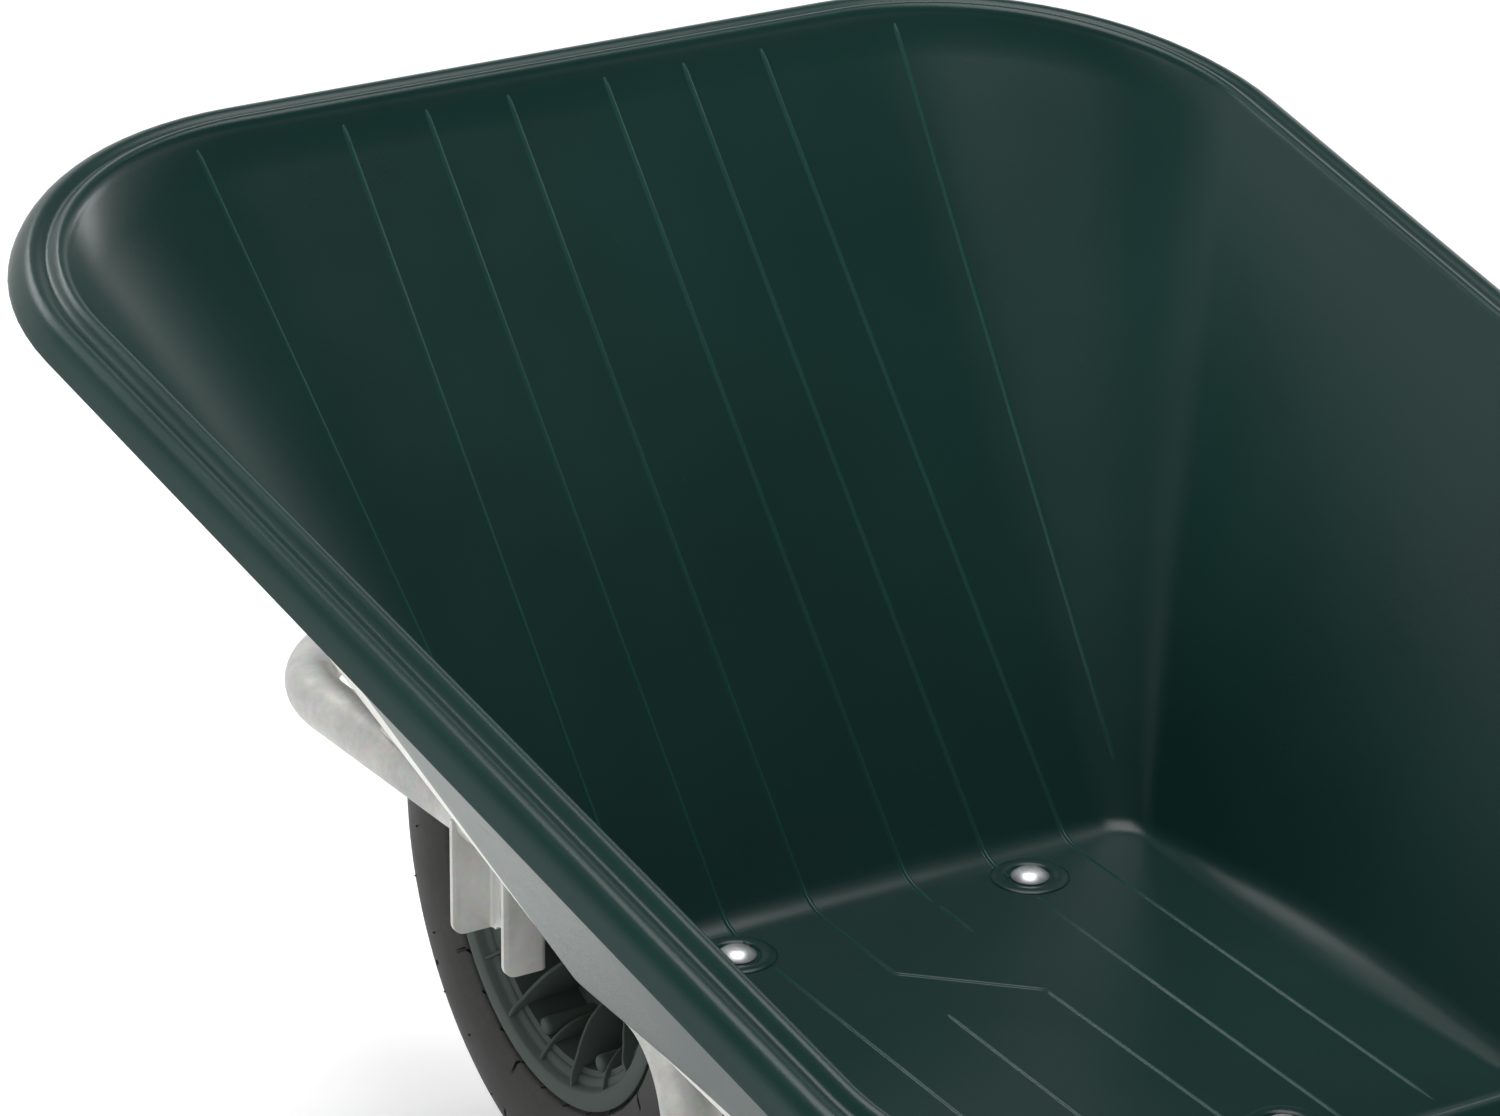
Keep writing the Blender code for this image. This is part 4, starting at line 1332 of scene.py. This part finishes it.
class BARROW_OT_inner_tube(bpy.types.Operator):
    """Air tube with its valve stem and cap"""

    bl_idname = "barrow.inner_tube"
    bl_label = "Inner tube"

    def execute(self, context):
        cap = middle("valve_cap") - AXLE
        outwards = Vector((0, cap.y, cap.z)).normalized()
        offset = Vector((cap.x, 0, 0))
        shape = bmesh.new()
        section = [(0.152 + s * 0.97, u * 0.97) for s, u in disc(0.0370, 28)]
        add_turned(shape, section, 96, "X")
        stem = ((0.124, 0.0085), (0.112, 0.0048), (0.094, 0.0042), (0.090, 0.0041))
        stem += ((0.0895, 0.0034), (0.0790, 0.0034))
        path = [offset + outwards * distance for distance, _ in stem]
        swept(shape, path, lambda i: disc(stem[i][1], 24), [Vector((1, 0, 0))] * len(path))
        piece = mesh_object("inner_tube_look", shape)
        settle(piece, "tube_rubber", WHEEL_BODY, "inner_tube", origin=AXLE)
        shape = bmesh.new()
        sleeve = ((0.0755, 0.0046), (0.0758, 0.0055), (0.0765, 0.0058), (0.0840, 0.0058), (0.0845, 0.0055))
        path = [offset + outwards * distance for distance, _ in sleeve]

        def knurled(i):
            radius = sleeve[i][1]
            inset = 0.0004 / radius if 0 < i < 4 else 0.0
            shares = [1 - inset * (k % 2) for k in range(36)]
            return [(x * share, y * share) for (x, y), share in zip(disc(radius, 36), shares)]

        swept(shape, path, knurled, [Vector((1, 0, 0))] * len(path))
        settle(mesh_object("valve_cap_look", shape), "black_plastic", WHEEL_BODY, "valve_cap", origin=AXLE)
        return {"FINISHED"}


# ---------------------------------------------------------------- fasteners and trim


def bolt_section(low):
    """A cup head with a rim, a plain shank and a thread down to the tip."""
    pitch, at = 0.00125, -0.0060
    points = [(0.0, HEAD_RISE), (0.0030, 0.0046), (0.0055, 0.0040), (0.0078, 0.0029), (0.0093, 0.0017)]
    points += [(0.0101, 0.0009), (0.0103, 0.0006), (0.0102, 0.0002), (TRAY_BOLT_R, 0.0002), (TRAY_BOLT_R, at)]
    while at > low + pitch * 1.5:
        points += [(TRAY_BOLT_R, at - pitch * 0.4), (TRAY_BOLT_R - 0.0006, at - pitch * 0.8)]
        at -= pitch
    return points + [(0.0038, low + 0.001), (0.0030, low), (0.0, low)]


class BARROW_OT_tray_fasteners(bpy.types.Operator):
    """Cup-headed bolts, washers and nuts that hold the tray"""

    bl_idname = "barrow.tray_fasteners"
    bl_label = "Tray fasteners"

    def execute(self, context):
        for where in ("front", "rear"):
            for side, _ in SIDES:
                spot = f"{where}_{side}"
                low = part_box(f"tray_bolt_{spot}")[0] - DATUM
                place = middle(f"tray_bolt_{spot}") - DATUM
                at = Vector((place.x, place.y, 0))
                shape = bmesh.new()
                add_turned(shape, bolt_section(low.z), 64, at=at)
                bolt = mesh_object(f"tray_bolt_{spot}_look", shape, 30)
                settle(bolt, "zinc_plate", FRAME_BODY, f"tray_bolt_{spot}")
                low, high = (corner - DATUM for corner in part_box(f"tray_washer_{spot}"))
                section = [(TRAY_HOLE_R, low.z), (WASHER_R, low.z), (WASHER_R, high.z), (TRAY_HOLE_R, high.z)]
                shape = bmesh.new()
                add_turned(shape, soften(section, 0.0004), 48, at=at)
                washer = mesh_object(f"tray_washer_{spot}_look", shape)
                settle(washer, "zinc_plate", FRAME_BODY, f"tray_washer_{spot}")
                low, high = (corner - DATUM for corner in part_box(f"tray_nut_{spot}"))
                shape = bmesh.new()
                add_nut(shape, TRAY_NUT_FLATS, TRAY_HOLE_R, low.z, high.z, at)
                nut = mesh_object(f"tray_nut_{spot}_look", shape)
                settle(nut, "zinc_plate", FRAME_BODY, f"tray_nut_{spot}")
        return {"FINISHED"}


def grip_section():
    """A grip along the tube: domed end, rounded bands for the fingers, and a collar."""
    stations = [(0.0, -0.0040), (0.0120, -0.0039), (0.0160, -0.0030), (0.0182, -0.0005)]
    bands, start, end = 9, 0.006, 0.108
    for k in range(bands):
        low = start + (end - start) * k / bands
        span = (end - start) / bands
        stations += [(0.0178, low), (0.0189, low + span * 0.18)]
        stations += [(0.0191, low + span * 0.5), (0.0189, low + span * 0.82)]
    stations += [(0.0178, end), (0.0188, 0.1130), (0.0215, 0.1165), (0.0224, 0.1200), (0.0218, 0.1240)]
    stations += [(0.0190, 0.1250), (0.0163, 0.1250), (0.0163, -0.0003), (0.0, -0.0003)]
    return stations


def plug_section():
    """A push-in plug: a low dome over the tube's end and a stub inside it."""
    return [
        (0.0, -0.0030),
        (0.0080, -0.0029),
        (0.0130, -0.0024),
        (0.0155, -0.0013),
        (0.0160, -0.0003),
        (0.0128, 0.0),
        (0.0126, 0.0180),
        (0.0, 0.0180),
    ]


class BARROW_OT_grips(bpy.types.Operator):
    """Handle grips, and plugs in the nose ends of the main tubes"""

    bl_idname = "barrow.grips"
    bl_label = "Grips and plugs"

    def execute(self, context):
        corners = [Vector(corner) for corner in MAIN_CORNERS]
        for side, sign in SIDES:
            points = corners if sign > 0 else mirrored(corners)
            ends = (
                ("handle_grip", grip_section(), points[-1], points[-2]),
                ("nose_plug", plug_section(), points[0], points[1]),
            )
            for kind, section, end, inwards in ends:
                node = f"{kind}_{side}"
                shape = bmesh.new()
                add_turned(shape, section, 64)
                turn = (inwards - end).to_track_quat("Z", "Y").to_matrix().to_4x4()
                place = Matrix.Translation(end) @ turn
                bmesh.ops.transform(shape, matrix=place, verts=shape.verts)
                settle(mesh_object(f"{node}_look", shape, 60), "black_plastic", FRAME_BODY, node)
        return {"FINISHED"}


# ---------------------------------------------------------------- stage


def softbox(name, target, place, size, power):
    """A rectangular area light aimed at a point."""
    light = bpy.data.lights.new(name, "AREA")
    light.shape = "RECTANGLE"
    light.size, light.size_y = size
    light.energy = power
    lamp = bpy.data.objects.new(name, light)
    lamp.location = place
    lamp.rotation_euler = (Vector(target) - Vector(place)).to_track_quat("-Z", "Y").to_euler()
    bpy.context.scene.collection.objects.link(lamp)


class BARROW_OT_stage(bpy.types.Operator):
    """Pale floor, soft studio light and the camera"""

    bl_idname = "barrow.stage"
    bl_label = "Stage"

    def execute(self, context):
        self.add_floor()
        self.add_lights()
        self.add_glow()
        self.add_camera(context)
        context.scene.view_settings.view_transform = "Standard"
        return {"FINISHED"}

    def add_floor(self):
        shape = bmesh.new()
        profile = [(-5.0, 0.0), (4.0, 0.0), (5.2, 0.12), (6.1, 0.6), (6.8, 1.5), (7.0, 5.5)]
        rows = [[shape.verts.new((x, y, z)) for y, z in smoothed(profile, 8)] for x in (-6.0, 6.0)]
        for k in range(len(rows[0]) - 1):
            shape.faces.new((rows[0][k], rows[1][k], rows[1][k + 1], rows[0][k + 1]))
        floor = mesh_object("studio_floor", shape)
        glow = {"Emission_Color": (1.0, 1.0, 1.0, 1.0), "Emission_Strength": 0.27}
        paint = Paint("studio_floor", Roughness=0.9, Specular_IOR_Level=0.1, **glow)
        tone = tuple(settings().stage.floor)
        cloud = paint.noise(1.5, 2.0)
        paint.feed(Base_Color=paint.blend(cloud * 0.3, tone, tint(tone, 0.98)))
        floor.data.materials.append(paint.material)

    def add_lights(self):
        aim = (0.0, 0.1, 0.35)
        softbox("overhead", aim, (0.3, 0.7, 3.6), (2.2, 2.2), 74)
        softbox("left", aim, (-3.2, 0.4, 1.7), (1.6, 1.2), 18)
        softbox("nose", aim, (-0.6, 3.0, 2.6), (1.4, 0.45), 20)
        softbox("right", aim, (3.2, 1.2, 1.0), (1.2, 0.9), 18)

    def add_glow(self):
        """A studio that is white near the horizon and dim overhead."""
        world = bpy.data.worlds.new("studio")
        world.use_nodes = True
        nodes, links = world.node_tree.nodes, world.node_tree.links
        direction = nodes.new("ShaderNodeTexCoord")
        split = nodes.new("ShaderNodeSeparateXYZ")
        fall = nodes.new("ShaderNodeMapRange")
        fall.interpolation_type = "SMOOTHSTEP"
        heights = {"From Min": 0.30, "From Max": 0.62, "To Min": 1.0, "To Max": 0.06}
        for name, value in heights.items():
            fall.inputs[name].default_value = value
        links.new(direction.outputs["Generated"], split.inputs[0])
        links.new(split.outputs["Z"], fall.inputs["Value"])
        links.new(fall.outputs[0], nodes["Background"].inputs["Strength"])
        nodes["Background"].inputs["Color"].default_value = (1.0, 1.0, 1.0, 1.0)
        bpy.context.scene.world = world

    def add_camera(self, context):
        """The camera stands behind the left handle and looks down into the tray."""
        lens = bpy.data.cameras.new("camera")
        lens.sensor_width = 36.0
        lens.lens = settings().stage.lens
        camera = bpy.data.objects.new("camera", lens)
        rotation = Matrix.Identity(4)
        for axis, angle in (("Z", -31.028), ("X", 90 - 23.768), ("Z", 0.651)):
            rotation = rotation @ Matrix.Rotation(math.radians(angle), 4, axis)
        camera.matrix_world = Matrix.Translation(DATUM + Vector((-1.4259, -2.2294, 1.3676))) @ rotation
        context.scene.collection.objects.link(camera)
        context.scene.camera = camera


# ---------------------------------------------------------------- add-on


OPERATORS = (
    BARROW_OT_stage,
    BARROW_OT_tray,
    BARROW_OT_main_tubes,
    BARROW_OT_lower_frame,
    BARROW_OT_cross_bar,
    BARROW_OT_straps,
    BARROW_OT_brackets,
    BARROW_OT_welds,
    BARROW_OT_axle,
    BARROW_OT_bushes,
    BARROW_OT_wheel_centre,
    BARROW_OT_tyre,
    BARROW_OT_inner_tube,
    BARROW_OT_tray_fasteners,
    BARROW_OT_grips,
)


class BARROW_PT_panel(bpy.types.Panel):
    """Lists the pieces of the wheelbarrow and their settings"""

    bl_idname = "BARROW_PT_panel"
    bl_label = "Garden Wheelbarrow"
    bl_space_type = "VIEW_3D"
    bl_region_type = "UI"
    bl_category = "Barrow"

    def draw(self, context):
        barrow = context.scene.barrow
        for group in (barrow.tray, barrow.frame, barrow.wheel, barrow.stage):
            box = self.layout.box()
            for name in group.__annotations__:
                box.prop(group, name)
        for operator in OPERATORS:
            self.layout.operator(operator.bl_idname)


GROUPS = (TraySettings, FrameSettings, WheelSettings, StageSettings, BarrowSettings)
CLASSES = (*GROUPS, *OPERATORS, BARROW_PT_panel)


def register():
    for cls in CLASSES:
        bpy.utils.register_class(cls)
    bpy.types.Scene.barrow = PointerProperty(
        name="Barrow", description="Sizes and colours of the wheelbarrow", type=BarrowSettings
    )


def unregister():
    del bpy.types.Scene.barrow
    for cls in reversed(CLASSES):
        bpy.utils.unregister_class(cls)


def main():
    register()
    for operator in OPERATORS:
        getattr(bpy.ops.barrow, operator.bl_idname.split(".")[1])()
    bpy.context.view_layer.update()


if __name__ == "__main__":
    main()
